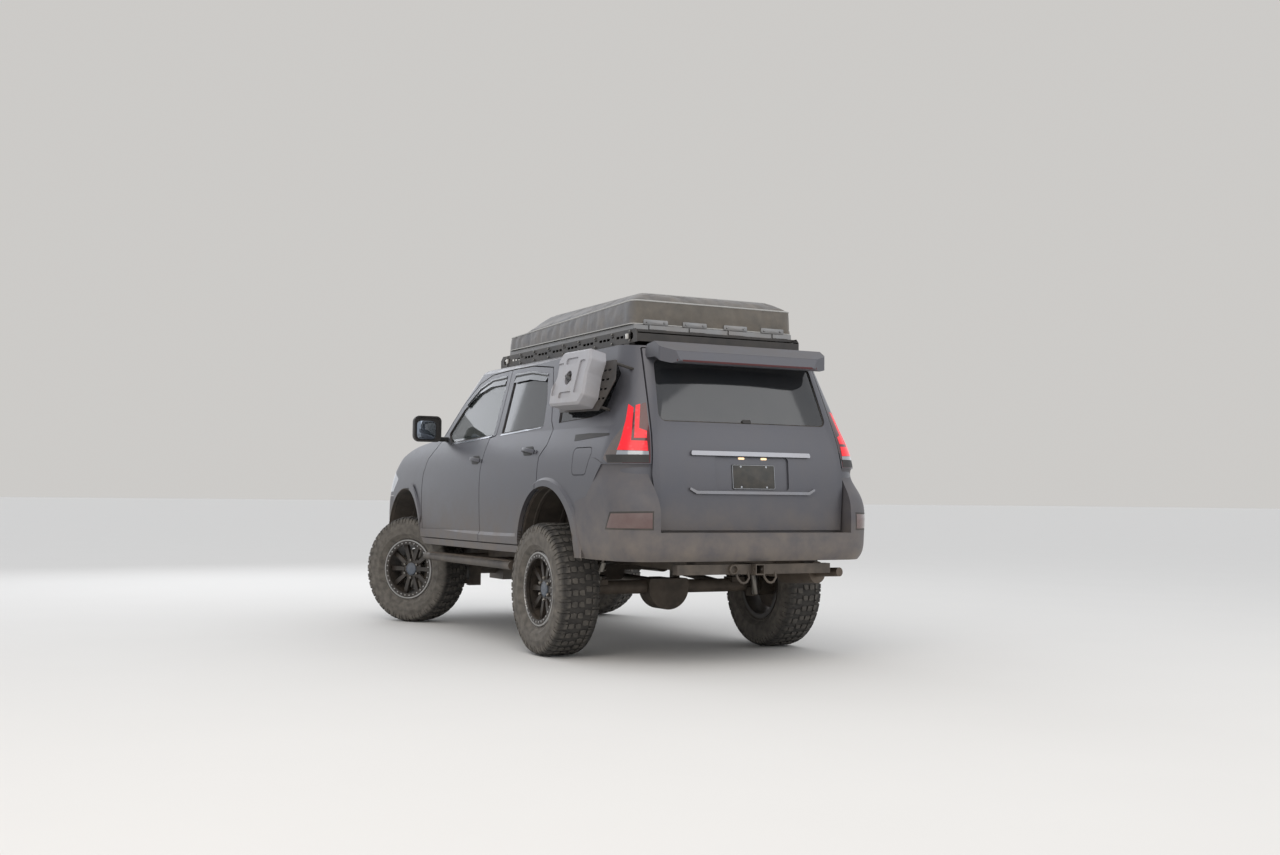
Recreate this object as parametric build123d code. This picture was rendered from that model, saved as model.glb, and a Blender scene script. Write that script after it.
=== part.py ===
from build123d import *
import os
from math import sin, cos, radians

# A lifted family 4x4 with a roof rack, a roof tent under its travel cover, and a flat fuel
# can on the left quarter window. Sizes are in millimetres, with x forward from the rear
# axle, y to the left and z up. The body is drawn with the wheel centres at axle_height, and
# at the end every piece is moved so that the tyres stand on z = 0 and the origin is under
# the middle of the whole length.

os.makedirs("parts", exist_ok=True)

# Overall sizes
rear_overhang = 1160
wheelbase = 2790
front_overhang = 929
half_width = 940
roof_top = 1988
axle_height = 422.6

# Tyres, where they stand and how far the front ones are turned
tyre_radius = 422.6
tyre_width = 285
tyre_inner = 685.5
half_track = tyre_inner + tyre_width / 2
kingpin_offset = 83
kingpin = half_track - kingpin_offset
steer_angle = 32

# Walls, gaps and clearances
door_wall = 60
roof_wall = 40
skin = 20
nose_thickness = 50
bonnet_thickness = 45
door_gap = 8
seal_step = 45
tail_seal_step = 14
seat_gap = 0.3
glass_depth = 10
glass_thickness = 5
tyre_room = 12
toe_room = 27.4

# Heights of the body
bumper_bottom = 560
sill_bottom = 640
floor_top = 690
belt = 1440

# Places along the body, and a distance past every side of it
tail = -rear_overhang
nose = wheelbase + front_overhang
firewall = wheelbase - tyre_radius - toe_room
front_split = firewall + 70
shell_front = firewall + 50
door_split = firewall / 2 - 100
beyond = 1400
behind = (tail - 140, tail + 660)
side = (450, beyond)

# Wheel arches: centre x, centre z, radius
rear_arch = (-50, 660, tyre_radius - 4.6)
front_arch = (wheelbase + 40, 648, tyre_radius + 2.4)
flare_width = 52
flare_height = 15

nodes = {}


def across(face, y0, y1):
    """A side-view outline of x and z, made solid from y0 to y1."""
    return extrude(Plane.XZ.offset(-y0) * face, amount=-(y1 - y0))


def along(face, x0, x1):
    """A rear-view outline of y and z, made solid from x0 to x1."""
    return extrude(Plane.YZ.offset(x0) * face, amount=x1 - x0)


def upward(face, z0, z1):
    """A plan outline of x and y, made solid from z0 to z1."""
    return extrude(Plane.XY.offset(z0) * face, amount=z1 - z0)


def block(x0, x1, y0, y1, z0, z1):
    """A plain block between two corners."""
    middle = Pos((x0 + x1) / 2, (y0 + y1) / 2, (z0 + z1) / 2)
    return middle * Box(abs(x1 - x0), abs(y1 - y0), abs(z1 - z0))


def outline(points, rounding=0):
    """A closed outline of straight edges with its corners rounded."""
    face = make_face(Polyline(*points, close=True))
    return fillet(face.vertices(), rounding) if rounding else face


def twin_outline(points, rounding=0):
    """An outline that is the same on both sides, from the points of its left half."""
    return outline(points + [(-y, z) for y, z in reversed(points)], rounding)


def grown(face, amount):
    """The same outline, moved out by an amount, or in where it is negative."""
    return offset(face, amount, kind=Kind.INTERSECTION)


def rod(start, end, radius):
    """A round bar between two points."""
    path = Line(start, end)
    return sweep(Plane(origin=start, z_dir=path % 0) * Circle(radius), path=path)


def mirrored(part):
    return mirror(part, about=Plane.XZ)


def both(part):
    """A piece and its twin on the other side of the vehicle."""
    return part + mirrored(part)


# Body sections. The first columns are the height and three half widths, given as insets from
# half_width: at the rear corner, at the widest place and at the nose. The next are the rear
# end, the nose station and the front end, as distances in from the tail and from the nose of
# the vehicle, or ahead of the firewall for the cab's front. The last are the corner radii.
lower_table = [
    (560, 100, 50, 140, 120, 204, 79, 250, 300),
    (800, 60, 10, 110, 85, 125, 4, 270, 330),
    (1050, 55, 3, 115, 90, 144, 19, 290, 350),
    (1270, 72, 22, 140, 115, 284, 159, 270, 350),
    (belt, 140, 74, 200, 160, 464, 339, 240, 350),
    (belt + 80, 160, 95, 220, 190, 544, 419, 240, 350),
]
upper_table = [
    (belt, 140, 74, 200, 160, 464, 15, 240, 130),
    (roof_top - 288, 212, 140, 260, 255, 464, -335, 240, 120),
    (roof_top + 12, 290, 215, 340, 365, 464, -770, 230, 110),
]
bumper_table = [
    (637, 90, 35, 120, 40, 319, 719, 230, 300),
    (740, 58, 12, 120, 2, 319, 719, 255, 330),
    (900, 51, 1, 120, 0, 319, 719, 262, 330),
    (1000, 50, -2, 120, 20, 319, 719, 268, 330),
    (1090, 56, 0, 120, 78, 319, 719, 285, 330),
    (1218, 68, 12, 120, 108, 319, 719, 272, 330),
]
widest_x = firewall / 2 + 80
bow_rear = 38
bow_front = 125


def placed(table, front_from):
    """The sections of a table as heights, half widths and places along the vehicle."""
    rows = []
    for z, rear, middle, front, from_tail, from_nose, from_front, r_rear, r_front in table:
        widths = (half_width - rear, half_width - middle, half_width - front)
        rows.append((z, *widths, tail + from_tail, nose - from_nose, front_from(from_front), r_rear, r_front))
    return rows


lower_sections = placed(lower_table, lambda distance: nose - distance)
upper_sections = placed(upper_table, lambda distance: firewall + distance)
bumper_sections = placed(bumper_table, lambda distance: nose - distance)


def circle_height(points, x):
    """Where the circle through three points stands at x, on the points' own side."""
    (x1, y1), (x2, y2), (x3, y3) = points
    d = 2 * (x1 * (y2 - y3) + x2 * (y3 - y1) + x3 * (y1 - y2))
    s1 = x1**2 + y1**2
    s2 = x2**2 + y2**2
    s3 = x3**2 + y3**2
    centre_x = (s1 * (y2 - y3) + s2 * (y3 - y1) + s3 * (y1 - y2)) / d
    centre_y = (s1 * (x3 - x2) + s2 * (x1 - x3) + s3 * (x2 - x1)) / d
    radius_squared = (x1 - centre_x) ** 2 + (y1 - centre_y) ** 2
    return centre_y + (radius_squared - (x - centre_x) ** 2) ** 0.5


def plan(row, inset):
    """The left half of one plan section, with bowed side and ends, set in by a wall."""
    z, rear, middle, front, x_rear, x_nose, x_front, r_rear, r_front = row
    rear_corner = (x_rear + bow_rear + inset, rear - inset)
    side_points = (rear_corner, (widest_x, middle - inset), (x_nose - inset, front - inset))
    x_corner = x_front - bow_front - inset
    front_corner = (x_corner, circle_height(side_points, x_corner))
    x_between = (rear_corner[0] + x_corner) / 2
    side_middle = (x_between, circle_height(side_points, x_between))
    rear_middle = (x_rear + inset, 0)
    front_middle = (x_front - inset, 0)
    edges = [
        TangentArc(rear_middle, rear_corner, tangent=(0, 1)),
        ThreePointArc(rear_corner, side_middle, front_corner),
        TangentArc(front_middle, front_corner, tangent=(0, 1)),
        Line(rear_middle, front_middle),
    ]
    face = make_face(edges)
    face = fillet(face.vertices().sort_by_distance(rear_corner)[0], r_rear - inset)
    face = fillet(face.vertices().sort_by_distance(front_corner)[0], r_front - inset)
    return Plane.XY.offset(z) * face


def hull(rows, inset):
    """The left half of a body form, lofted through its plan sections."""
    return loft([plan(row, inset) for row in rows])


# Roof, seen from the side and from behind
windscreen_foot = (firewall - 440, roof_top - 198)
windscreen_bend = (firewall - 620, roof_top - 103)
header = (firewall - 760, roof_top - 46)
roof_middle = (500, roof_top)
roof_rear = (tail + 300, roof_top - 63)
roof_tip = (behind[0], roof_top - 148)
roof_edge = (half_width - 300, roof_top - 33)
roof_shoulder = (half_width - 205, roof_top - 70)
roof_side = (half_width - 145, roof_top - 138)
waist = 1300


def roof_limits(inset):
    """The space under the roof's curve from front to back and from side to side."""

    def down(point):
        return (point[0], point[1] - inset)

    def inward(point):
        return (point[0] - inset, point[1] - inset)

    def left(point):
        return (-point[0], point[1])

    ahead = firewall + 160
    side_view = make_face([
        Polyline((ahead, waist), (ahead, waist + 100), down(windscreen_foot), down(windscreen_bend), down(header)),
        ThreePointArc(down(header), down(roof_middle), down(roof_rear)),
        Polyline(down(roof_rear), down(roof_tip), (behind[0], waist), (ahead, waist)),
    ])
    edge = down(roof_edge)
    shoulder = inward(roof_shoulder)
    corner = inward(roof_side)
    outer = half_width + 60
    wide = (outer, roof_top - 288)
    low = (outer, waist)
    rear_view = make_face([
        ThreePointArc(left(edge), (0, roof_top - inset), edge),
        ThreePointArc(edge, shoulder, corner),
        Polyline(corner, wide, low, left(low), left(wide), left(corner)),
        ThreePointArc(left(corner), left(shoulder), left(edge)),
    ])
    return across(side_view, -beyond, beyond) & along(rear_view, behind[0], ahead)


# Bonnet and wing tops: place, height at the middle, drop at bonnet_reach to the side
bonnet_reach = 1000
bonnet_sections = [
    (firewall - 190, 1484, 30),
    (nose - 919, 1435, 42),
    (nose - 569, 1378, 70),
    (nose - 269, 1278, 120),
    (nose + 41, 1080, 170),
]


def bonnet_limits(drop):
    """The space under the bonnet's curve, lowered by a wall thickness."""
    faces = []
    for x, middle, fall in bonnet_sections:
        top = middle - drop
        edge = top - fall
        face = make_face([
            ThreePointArc((-bonnet_reach, edge), (0, top), (bonnet_reach, edge)),
            Polyline((bonnet_reach, edge), (bonnet_reach, 500), (-bonnet_reach, 500), (-bonnet_reach, edge)),
        ])
        faces.append(Plane.YZ.offset(x) * face)
    return loft(faces)


def cab(inset_lower, inset_upper):
    """The left half of the cab as one solid, set in by the thickness of its walls."""
    low = hull(lower_sections, inset_lower) & block(behind[0], front_split, 0, beyond, 500, belt)
    high = hull(upper_sections, inset_upper) & roof_limits(inset_upper)
    return low + high


def flare(arch, lead):
    """The raised lip round a wheel arch, with a sloping shoulder, wider on the side it leads to."""
    x = arch[0] + lead
    z = arch[1]
    radius = arch[2]
    shoulder = 30
    foot = Plane.XZ.offset(40 - half_width) * (Pos(x, z) * Circle(radius + flare_width + shoulder))
    lip = Plane.XZ.offset(-20 - half_width) * (Pos(x, z) * Circle(radius + flare_width - shoulder))
    return loft([foot, lip])


# The left half's layers: outer form, outer skin, inner wall, and the glass between them
flares = flare(rear_arch, 0) + flare(front_arch, 40)
rocker_side = outline([(rear_arch[0], 560), (front_arch[0], 560), (front_arch[0], 752), (rear_arch[0], 776)])
rocker_rear = outline([
    (0, 500), (beyond, 500), (half_width + 30, 700), (half_width - 12, 766), (half_width - 70, 790), (0, 790),
])
rocker = across(rocker_side, 0, beyond) & along(rocker_rear, rear_arch[0], front_arch[0])
raised = (flares + rocker) & hull(lower_sections, -flare_height)
over_sill = block(behind[0], front_split, 0, beyond, sill_bottom, roof_top + 112)
outside = (cab(0, 0) + raised) & over_sill
under_skin = cab(skin, skin)
lining = cab(door_wall, roof_wall)
inside = lining & block(behind[0], firewall, 0, beyond, floor_top, roof_top + 112)
over_roof = cab(-seat_gap, -seat_gap)
around_roof = cab(-door_gap, -door_gap)
glass_outer = cab(glass_depth, glass_depth)
glass_inner = cab(glass_depth + glass_thickness, glass_depth + glass_thickness)
skin_layer = outside - under_skin
core_layer = (under_skin & outside) - inside
glass_layer = glass_outer - glass_inner
leaf_skin_layer = outside - glass_inner
leaf_core_layer = (glass_inner & outside) - lining

nose_form = hull(lower_sections, 0) + raised
nose_outside = nose_form & bonnet_limits(0)
inner_rows = [(400,) + lower_sections[0][1:]] + lower_sections[1:]
nose_inside = hull(inner_rows, nose_thickness) & bonnet_limits(bonnet_thickness)
nose_wall = nose_outside - nose_inside

# Outlines of the doors, their windows and the tailgate. The rear door ends at the wheel
# arch, and the front door's window frame laps over the pillar behind it.
rear_arch_circle = Pos(rear_arch[0], rear_arch[1]) * Circle(rear_arch[2])
rear_tyre_circle = Pos(0, axle_height) * Circle(tyre_radius + tyre_room)
rear_arch_space = rear_arch_circle + rear_tyre_circle
front_arch_space = Pos(front_arch[0], front_arch[1]) * Circle(front_arch[2])
split_line = [
    (door_split - 144, roof_top - 83), (door_split - 144, belt - 4), (door_split - 34, belt - 16),
    (door_split, 1200), (door_split, floor_top),
]
front_door = outline([
    (firewall + 60, floor_top), (firewall + 65, 1076), (firewall + 56, 1182), (firewall + 5, 1301),
    (firewall - 140, belt - 48), (firewall - 230, belt + 22), (firewall - 545, roof_top - 283),
    (firewall - 820, roof_top - 143), (firewall - 1040, roof_top - 95),
] + split_line, 12)
rear_door = outline(list(reversed(split_line)) + [
    (door_split - 510, roof_top - 85), (240, roof_top - 118), (150, roof_top - 288), (50, belt + 60),
    (-8, belt + 4), (5, belt - 96), (80, 1268), (78, 900), (230, floor_top),
], 12) - rear_arch_space
front_window = outline([
    (door_split - 86, belt), (firewall - 450, belt - 28), (firewall - 350, belt + 44),
    (firewall - 575, roof_top - 333), (firewall - 850, roof_top - 193), (firewall - 1070, roof_top - 145),
    (door_split - 86, roof_top - 138),
], 15)
rear_window = outline([
    (150, belt + 28), (door_split - 232, belt + 6), (door_split - 218, roof_top - 138),
    (door_split - 505, roof_top - 138), (290, roof_top - 173), (205, belt + 210),
], 15)
quarter_window = outline([
    (-60, belt + 42), (tail + 660, belt + 60), (tail + 515, belt + 90), (tail + 460, roof_top - 228),
    (tail + 550, roof_top - 143), (60, roof_top - 138), (5, roof_top - 288),
], 15)
tailgate_outline = twin_outline([
    (half_width - 285, 812), (half_width - 255, 1147), (half_width - 285, belt + 43),
    (half_width - 307, roof_top - 274), (half_width - 328, roof_top - 63),
], 12)
tailgate_glass_outline = twin_outline([
    (half_width - 340, belt + 25), (half_width - 380, roof_top - 138),
], 45)
windscreen_outline = twin_outline([
    (half_width - 205, belt + 42), (half_width - 300, roof_top - 103),
], 45)
fuel_flap_outline = outline([(-425, 1142), (-600, 1142), (-660, 1315), (-400, 1315)], 35)
bumper_side = outline([
    (behind[0], bumper_bottom), (-560, bumper_bottom), (-488, 982), (tail + 529, 1014), (tail + 370, 1208),
    (behind[0], 1208),
]) - rear_arch_space
lamp_side = outline([
    (behind[0], 1575), (tail + 267, 1575), (tail + 298, 1418), (tail + 360, 1240), (tail + 310, 1212),
    (behind[0], 1212),
], 8)

# The window frames are their own pieces on the door panels, and start where the split line turns
frame_top_z = roof_top + 12
front_frame = outline([
    (door_split - 200, belt - 40), (door_split - 58, belt - 40), (door_split - 8, belt + 10),
    (firewall - 100, belt + 10), (firewall - 100, frame_top_z), (door_split - 200, frame_top_z),
])
rear_frame = outline([
    (door_split - 120, belt + 20), (door_split - 156, belt - 16), (door_split - 240, belt - 16),
    (door_split - 270, belt + 50), (-100, belt + 50), (-100, frame_top_z), (door_split - 120, frame_top_z),
])

# Doors: a thin skin to the full outline, and a smaller core that shuts inside the pillars
door_rows = (
    ("front", front_door, front_window, front_frame),
    ("rear", rear_door, rear_window, rear_frame),
)
for name, face, window, frame_face in door_rows:
    skin_leaf = leaf_skin_layer & across(grown(face, -door_gap / 2), *side)
    core_leaf = leaf_core_layer & across(grown(face, -seal_step - door_gap), *side)
    leaf = skin_leaf + core_leaf - across(window, *side)
    pane = glass_layer & across(grown(window, -seat_gap), 640, beyond)
    frame_space = across(frame_face, *side)
    door_panel = leaf - frame_space
    window_frame = leaf & frame_space
    nodes[name + "_door_left"] = door_panel
    nodes[name + "_door_right"] = mirrored(door_panel)
    nodes[name + "_door_frame_left"] = window_frame
    nodes[name + "_door_frame_right"] = mirrored(window_frame)
    nodes[name + "_door_glass_left"] = pane
    nodes[name + "_door_glass_right"] = mirrored(pane)

tail_skin = leaf_skin_layer & along(grown(tailgate_outline, -door_gap), *behind)
tail_core = leaf_core_layer & along(grown(tailgate_outline, -tail_seal_step - door_gap), *behind)
tail_leaf = tail_skin + tail_core - along(tailgate_glass_outline, *behind)
tailgate_pane = glass_layer & along(grown(tailgate_glass_outline, -seat_gap), *behind)
nodes["tailgate_window"] = both(tailgate_pane)


def door_hinges(face, front, heights):
    """Hinge straps that reach from a pillar to the front edge of a door's core."""
    straps = [block(front - 110, front, 640, beyond, z, z + 70) for z in heights]
    return Part() + straps - across(grown(face, seat_gap - seal_step - door_gap), *side)


# The bodyshell: pillars, quarters and bulkhead, with the wheel housings
lamp_space = across(lamp_side, 600, beyond) - along(grown(tailgate_outline, 6), *behind)
bumper_space = across(bumper_side, 0, beyond)
door_holes = across(grown(front_door, door_gap / 2), *side) + across(grown(rear_door, door_gap / 2), *side)
shell_skin = skin_layer - door_holes
shell_skin -= along(tailgate_outline, *behind)
shell_skin -= bumper_space + lamp_space
shell_core = core_layer - across(grown(front_door, -seal_step), *side)
shell_core -= across(grown(rear_door, -seal_step), *side)
shell_core -= along(grown(tailgate_outline, -tail_seal_step), *behind)
shell_core -= block(*behind, 0, half_width - 340, roof_top - 108, roof_top - 63)
shell_core -= lamp_space
hinges = core_layer & door_hinges(front_door, firewall + 35, (820, 1100))
hinges += core_layer & door_hinges(rear_door, door_split - 30, (820, 1080))
half_shell = shell_skin + shell_core + hinges
half_shell -= block(shell_front, front_split + 1, 0, beyond, 500, belt + 100)
half_shell -= across(quarter_window, *side)
half_shell -= along(windscreen_outline, firewall - 1040, firewall + 260)
half_shell -= across(fuel_flap_outline, *side) & (outside - under_skin)
housing_wall = 16
housing_inner_y = tyre_inner - 79.5
housing_circle = grown(rear_arch_circle, housing_wall + 2)
housing = across(housing_circle, housing_inner_y - housing_wall, half_width - 60) & outside
half_shell += housing & block(tail + 560, 500, 0, beyond, sill_bottom, 1200)
half_shell -= across(rear_arch_space, housing_inner_y, beyond)

# The inner wings stand beside the engine and the front panel carries the lamps and grille
panel_x = wheelbase + 540
apron_y = 446
apron_wall = 18
apron = block(firewall, panel_x, apron_y, apron_y + apron_wall, sill_bottom, waist)
apron = apron & nose_inside & bonnet_limits(52)
front_panel = block(panel_x, panel_x + 35, 0, half_width - 160, sill_bottom, 1180) & nose_inside
half_shell = half_shell + apron + front_panel
bumper_top = 1012
bumper_line = front_arch[0] + front_arch[2] + 7
fender_side = outline([
    (firewall + 72, sill_bottom), (firewall + 72, 1078), (firewall + 63, 1186), (firewall + 10, 1307),
    (firewall - 134, 1400), (firewall - 190, 1445), (firewall - 190, 1600), (nose + 81, 1600),
    (nose + 81, bumper_top), (bumper_line, bumper_top), (bumper_line, sill_bottom),
]) - front_arch_space
wing_inner = half_width - 240
fender_room = across(grown(fender_side, seat_gap), wing_inner, beyond)
half_shell -= fender_room & block(firewall - 240, nose + 181, wing_inner, beyond, 500, 1600)
half_shell -= block(firewall + 5, firewall + 60, 0, half_width - 180, 1350, 1500) - bonnet_limits(52)
bonnet_hinge = block(firewall + 16, firewall + 48, half_width - 340, half_width - 260, 1350, 1500)
half_shell += (bonnet_hinge & bonnet_limits(bonnet_thickness + seat_gap)) - bonnet_limits(60)
toe_board = outline([(firewall - 5, 600), (firewall - 5, 640), (firewall + 55, 706), (firewall + 55, 600)])
half_shell -= across(toe_board, 560, beyond)
flap_hinge = block(-470, -440, 700, beyond, 1200, 1260) & ((glass_inner & outside) - under_skin)
seal_band = grown(tailgate_outline, -tail_seal_step)
seal_band -= grown(tailgate_outline, seat_gap - tail_seal_step - door_gap)
tail_hinges = Part()
for z in (860, 1250):
    tail_hinges += block(behind[0], tail + 260, half_width - 340, half_width - 140, z, z + 90)
tail_hinges = core_layer & along(seal_band, *behind) & tail_hinges

# The roof panel lies between the cant rails and the floor pan between the sills
roof_panel_space = block(tail + 480, firewall - 870, 0, half_width - 299, roof_top - 188, roof_top + 112)
floor_space = block(behind[0], front_split, 0, beyond, 500, floor_top)
nodes["roof_panel"] = both(half_shell & roof_panel_space)
nodes["floor_pan"] = both(half_shell & floor_space)
half_shell -= roof_panel_space + floor_space
nodes["body_shell"] = both(half_shell) + mirrored(tail_hinges) + Pos(0, -seat_gap, 0) * flap_hinge
nodes["quarter_windows"] = both(glass_layer & across(grown(quarter_window, -seat_gap), *side))
windscreen = glass_layer & along(grown(windscreen_outline, -seat_gap), firewall - 840, firewall + 260)
nodes["windscreen"] = both(windscreen)

# Front wings, bonnet, lamps, grille and bumper are all cut from one nose
bonnet_half = [
    (firewall + 12, half_width - 198), (nose - 419, half_width - 240), (nose - 299, 560), (nose - 219, 300),
]
bonnet_plan = outline(bonnet_half + [(nose - 199, 0)] + [(x, -y) for x, y in reversed(bonnet_half)])
bonnet_space = upward(bonnet_plan, 1100, 1600)
headlamp_side = outline([
    (nose - 569, 1150), (nose - 429, 1045), (nose + 81, 1045), (nose + 81, 1205), (nose - 389, 1222),
], 10)
headlamp_space = across(headlamp_side, 480, beyond)
grille_face = twin_outline([(430, 760), (455, 1195)], 40)
grille_depth = (nose - 319, nose + 181)
grille_space = along(grille_face, *grille_depth)
bumper_box = block(bumper_line, nose + 181, 0, beyond, bumper_bottom, bumper_top - 4)
wing = nose_wall & across(fender_side, 440, beyond)
wing -= upward(grown(bonnet_plan, door_gap), 1100, 1600)
wing -= across(grown(headlamp_side, seat_gap), 480, beyond) + grille_space
wing -= block(firewall - 240, bumper_line, 0, wing_inner, 500, 1180)
wing -= block(firewall - 240, firewall + 20, 0, wing_inner + seat_gap, 1100, 1600)
nodes["front_wings"] = both(wing)
bonnet = both(nose_wall) & bonnet_space
bonnet -= block(nose - 519, nose + 181, -beyond, beyond, 1100, 1210)
nodes["bonnet"] = bonnet - grille_space - across(grown(headlamp_side, 6), -beyond, beyond)
lamp_back = nose_inside & bonnet_limits(60)
nodes["headlamps"] = both((nose_outside - lamp_back) & headlamp_space)
intake_face = twin_outline([(330, 610), (370, 705)], 25)
fog_face = Pos(620, 690) * Circle(62)
bumper_cover = (nose_wall - across(front_arch_space, 500, beyond)) & bumper_box
bumper_cover -= grille_space + along(intake_face + fog_face, *grille_depth)
nodes["front_bumper"] = both(bumper_cover)
grille_ring = along(grown(grille_face, -1), *grille_depth) - along(grown(grille_face, -28), *grille_depth)
grille = grille_ring
grille_bars = 6
bar_pitch = 62
bar_height = 22
for bar in range(grille_bars):
    z = 820 + bar * bar_pitch
    louvre = block(*grille_depth, -440, 440, z, z + bar_height)
    grille += louvre & along(grown(grille_face, -2), *grille_depth)
nodes["grille"] = both(nose_wall) & grille

# Rear bumper: a beam behind the tailgate with shoulders up to the tail lamps
beam_top = 806
beam = hull(bumper_sections, 0) + (flares & hull(lower_sections, -flare_height))
beam = beam & across(bumper_side, 0, beyond)
beam -= hull(lower_sections, skin - seat_gap)
beam -= block(tail + 100, tail + 260, 0, 460, 600, 642)
beam -= block(*behind, 0, half_width - 268, beam_top, waist)
beam -= along(grown(tailgate_outline, 6), *behind) & block(*behind, 0, beyond, beam_top - 6, waist)
nodes["rear_bumper"] = both(beam)
lamp_body = (skin_layer & lamp_space) + (core_layer & lamp_space)
nodes["tail_lamps"] = both(lamp_body)
nodes["fuel_flap"] = leaf_skin_layer & across(grown(fuel_flap_outline, -5), *side)

# Tailgate details: a recess for the plate, bright bars above and below it, the spoiler
recess_depth = 12
recess = along(twin_outline([(258, 1062), (262, 1262)], 20), *behind)
nodes["tailgate"] = both(tail_leaf - (recess - hull(lower_sections, recess_depth)))
bar_band = hull(lower_sections, -16) - hull(lower_sections, -seat_gap)
top_bar = along(twin_outline([(425, 1266), (419, 1293)], 8), *behind)
low_bar = along(twin_outline([(400, 1036), (446, 1062), (440, 1074), (395, 1054)], 4), *behind)
nodes["tailgate_bars"] = both(bar_band & (top_bar + low_bar) & block(behind[0], tail + 260, 0, 600, 1000, 1300))
spoiler_side = outline([
    (tail + 380, roof_top - 78), (tail + 360, roof_top - 50), (tail + 260, roof_top - 38),
    (tail + 160, roof_top - 100), (tail + 148, roof_top - 160), (tail + 170, roof_top - 176),
    (tail + 255, roof_top - 132), (tail + 380, roof_top - 132),
], 8)
spoiler_half = half_width - 344
spoiler_plan = outline([
    (tail + 400, -spoiler_half), (tail + 200, -spoiler_half), (tail + 148, 116 - spoiler_half), (tail + 130, 0),
    (tail + 148, spoiler_half - 116), (tail + 200, spoiler_half), (tail + 400, spoiler_half),
], 20)
spoiler = across(spoiler_side, 0, spoiler_half) & upward(spoiler_plan, belt, roof_top + 112)
spoiler -= over_roof & block(behind[0], 0, 0, beyond, 1400, roof_top - 72)
spoiler -= around_roof & block(behind[0], 0, 0, beyond, roof_top - 73, roof_top + 112)
nodes["spoiler"] = both(spoiler)

# Ladder frame: two box rails that rise over the axles, joined by cross tubes
rail_inner = 385
rail_outer = 445
frame_top = sill_bottom - seat_gap
rail_side = outline([
    (tail + 120, 572), (-380, 585), (330, 560), (520, 505), (wheelbase - 530, 505), (wheelbase - 340, 545),
    (wheelbase + 330, 560), (nose - 239, 566), (nose - 239, frame_top), (tail + 120, frame_top),
])
frame = both(across(rail_side, rail_inner, rail_outer))
cross_tubes = [
    (tail + 460, 600, 50),
    (420, 540, 50),
    (1280, 530, 60),
    (wheelbase - 288, 570, 60),
    (wheelbase + 470, 600, 60),
]
for x, z, size in cross_tubes:
    reach = rail_inner + 5
    frame += block(x - size / 2, x + size / 2, -reach, reach, z - size / 2, z + size / 2)
arm_top = axle_height - 92.9
upper_arm_bottom = axle_height + 137.7
arm_bracket = block(wheelbase - 150, wheelbase - 85, 300, 400, arm_top - 44.7, 560)
arm_bracket += block(wheelbase + 85, wheelbase + 150, 300, 400, arm_top - 44.7, 560)
upper_bracket = block(wheelbase - 130, wheelbase + 130, 440, 470, 555, 600)
spring_seat = block(-70, 90, 440, 590, 612, frame_top) + block(-180, -120, 440, 590, 622, frame_top)
link_bracket = block(640, 700, 400, 450, 430, 520)
nodes["ladder_frame"] = frame + both(arm_bracket + upper_bracket + spring_seat + link_bracket)

# Wheels, drawn about their own axis and then carried to the axle ends
bead_radius = 216
ring_radius = 235.6
ring_inner = 196
barrel_wall = 12
rim_half_width = tyre_width / 2 - 32.5
hub_bore = 32
hub_radius = 88
spindle_radius = hub_bore - seat_gap
hub_face = 20
hub_depth = 45
spoke_count = 10
spoke_wide = 19
spoke_narrow = 14


def turned(points):
    """A closed outline of radius and distance along Y, turned about the Y axis."""
    return revolve(make_face(Polyline(*points, close=True)), Axis.Y)


def wheel_rim():
    w = rim_half_width
    barrel = turned([
        (bead_radius - barrel_wall, 2 - w), (ring_radius - 4, 2 - w), (ring_radius - 4, 10 - w),
        (bead_radius, 16 - w), (bead_radius, w - 16), (ring_radius, w - 11), (ring_radius, w), (ring_inner, w),
        (ring_inner, w - 18), (bead_radius - barrel_wall, w - 30),
    ])
    cap = hub_face + hub_depth
    hub = turned([(hub_bore, hub_face), (hub_radius, hub_face), (hub_radius, cap - 10), (70, cap), (hub_bore, cap)])
    spoke = outline([(70, -spoke_narrow), (208, -spoke_wide), (208, spoke_wide), (70, spoke_narrow)])
    rim = barrel + hub
    for index in range(spoke_count):
        arm = extrude(Plane(origin=(0, 40, 0), x_dir=(1, 0, 0), z_dir=(0, 1, 0)) * spoke, amount=28)
        rim += Rot(0, index * 360 / spoke_count, 0) * arm
    return rim


def wheel_tyre():
    """The tyre's section: bead, bulging sidewall, shoulder and crown, hollow inside."""
    w = tyre_width / 2
    face = rim_half_width
    middle = (ring_radius + tyre_radius) / 2
    bead = bead_radius + seat_gap
    outer = [
        (bead, face - 17), (ring_radius + 2.4, face - 10.5), (ring_radius + 10.4, w - 30.5),
        (ring_radius + 44.4, w - 6.5), (middle - 4, w), (tyre_radius - 44.6, w - 5.5),
        (tyre_radius - 16.6, w - 18.5), (tyre_radius - 4.6, w - 36.5), (tyre_radius, w - 58.5),
    ]
    inner = [
        (tyre_radius - 22.6, w - 44.5), (tyre_radius - 47.6, w - 22.5), (middle - 4, w - 16.5),
        (ring_radius + 44.4, w - 24.5), (bead + 25.7, w - 58.5), (bead, face - 30),
    ]
    outer_back = [(r, -y) for r, y in reversed(outer)]
    inner_back = [(r, -y) for r, y in reversed(inner)]
    return turned(outer + outer_back + inner_back + [(tyre_radius - 17.6, 0)] + inner)


rim = wheel_rim()
tyre = wheel_tyre()
half_turn = Rot(0, 0, 180)


def steered(part, sign):
    """Turns a front wheel's parts about their kingpin to where they stand at rest."""
    pin = (wheelbase, sign * kingpin, 0)
    return Pos(*pin) * Rot(0, 0, steer_angle) * Pos(-pin[0], -pin[1], 0) * part


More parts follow.
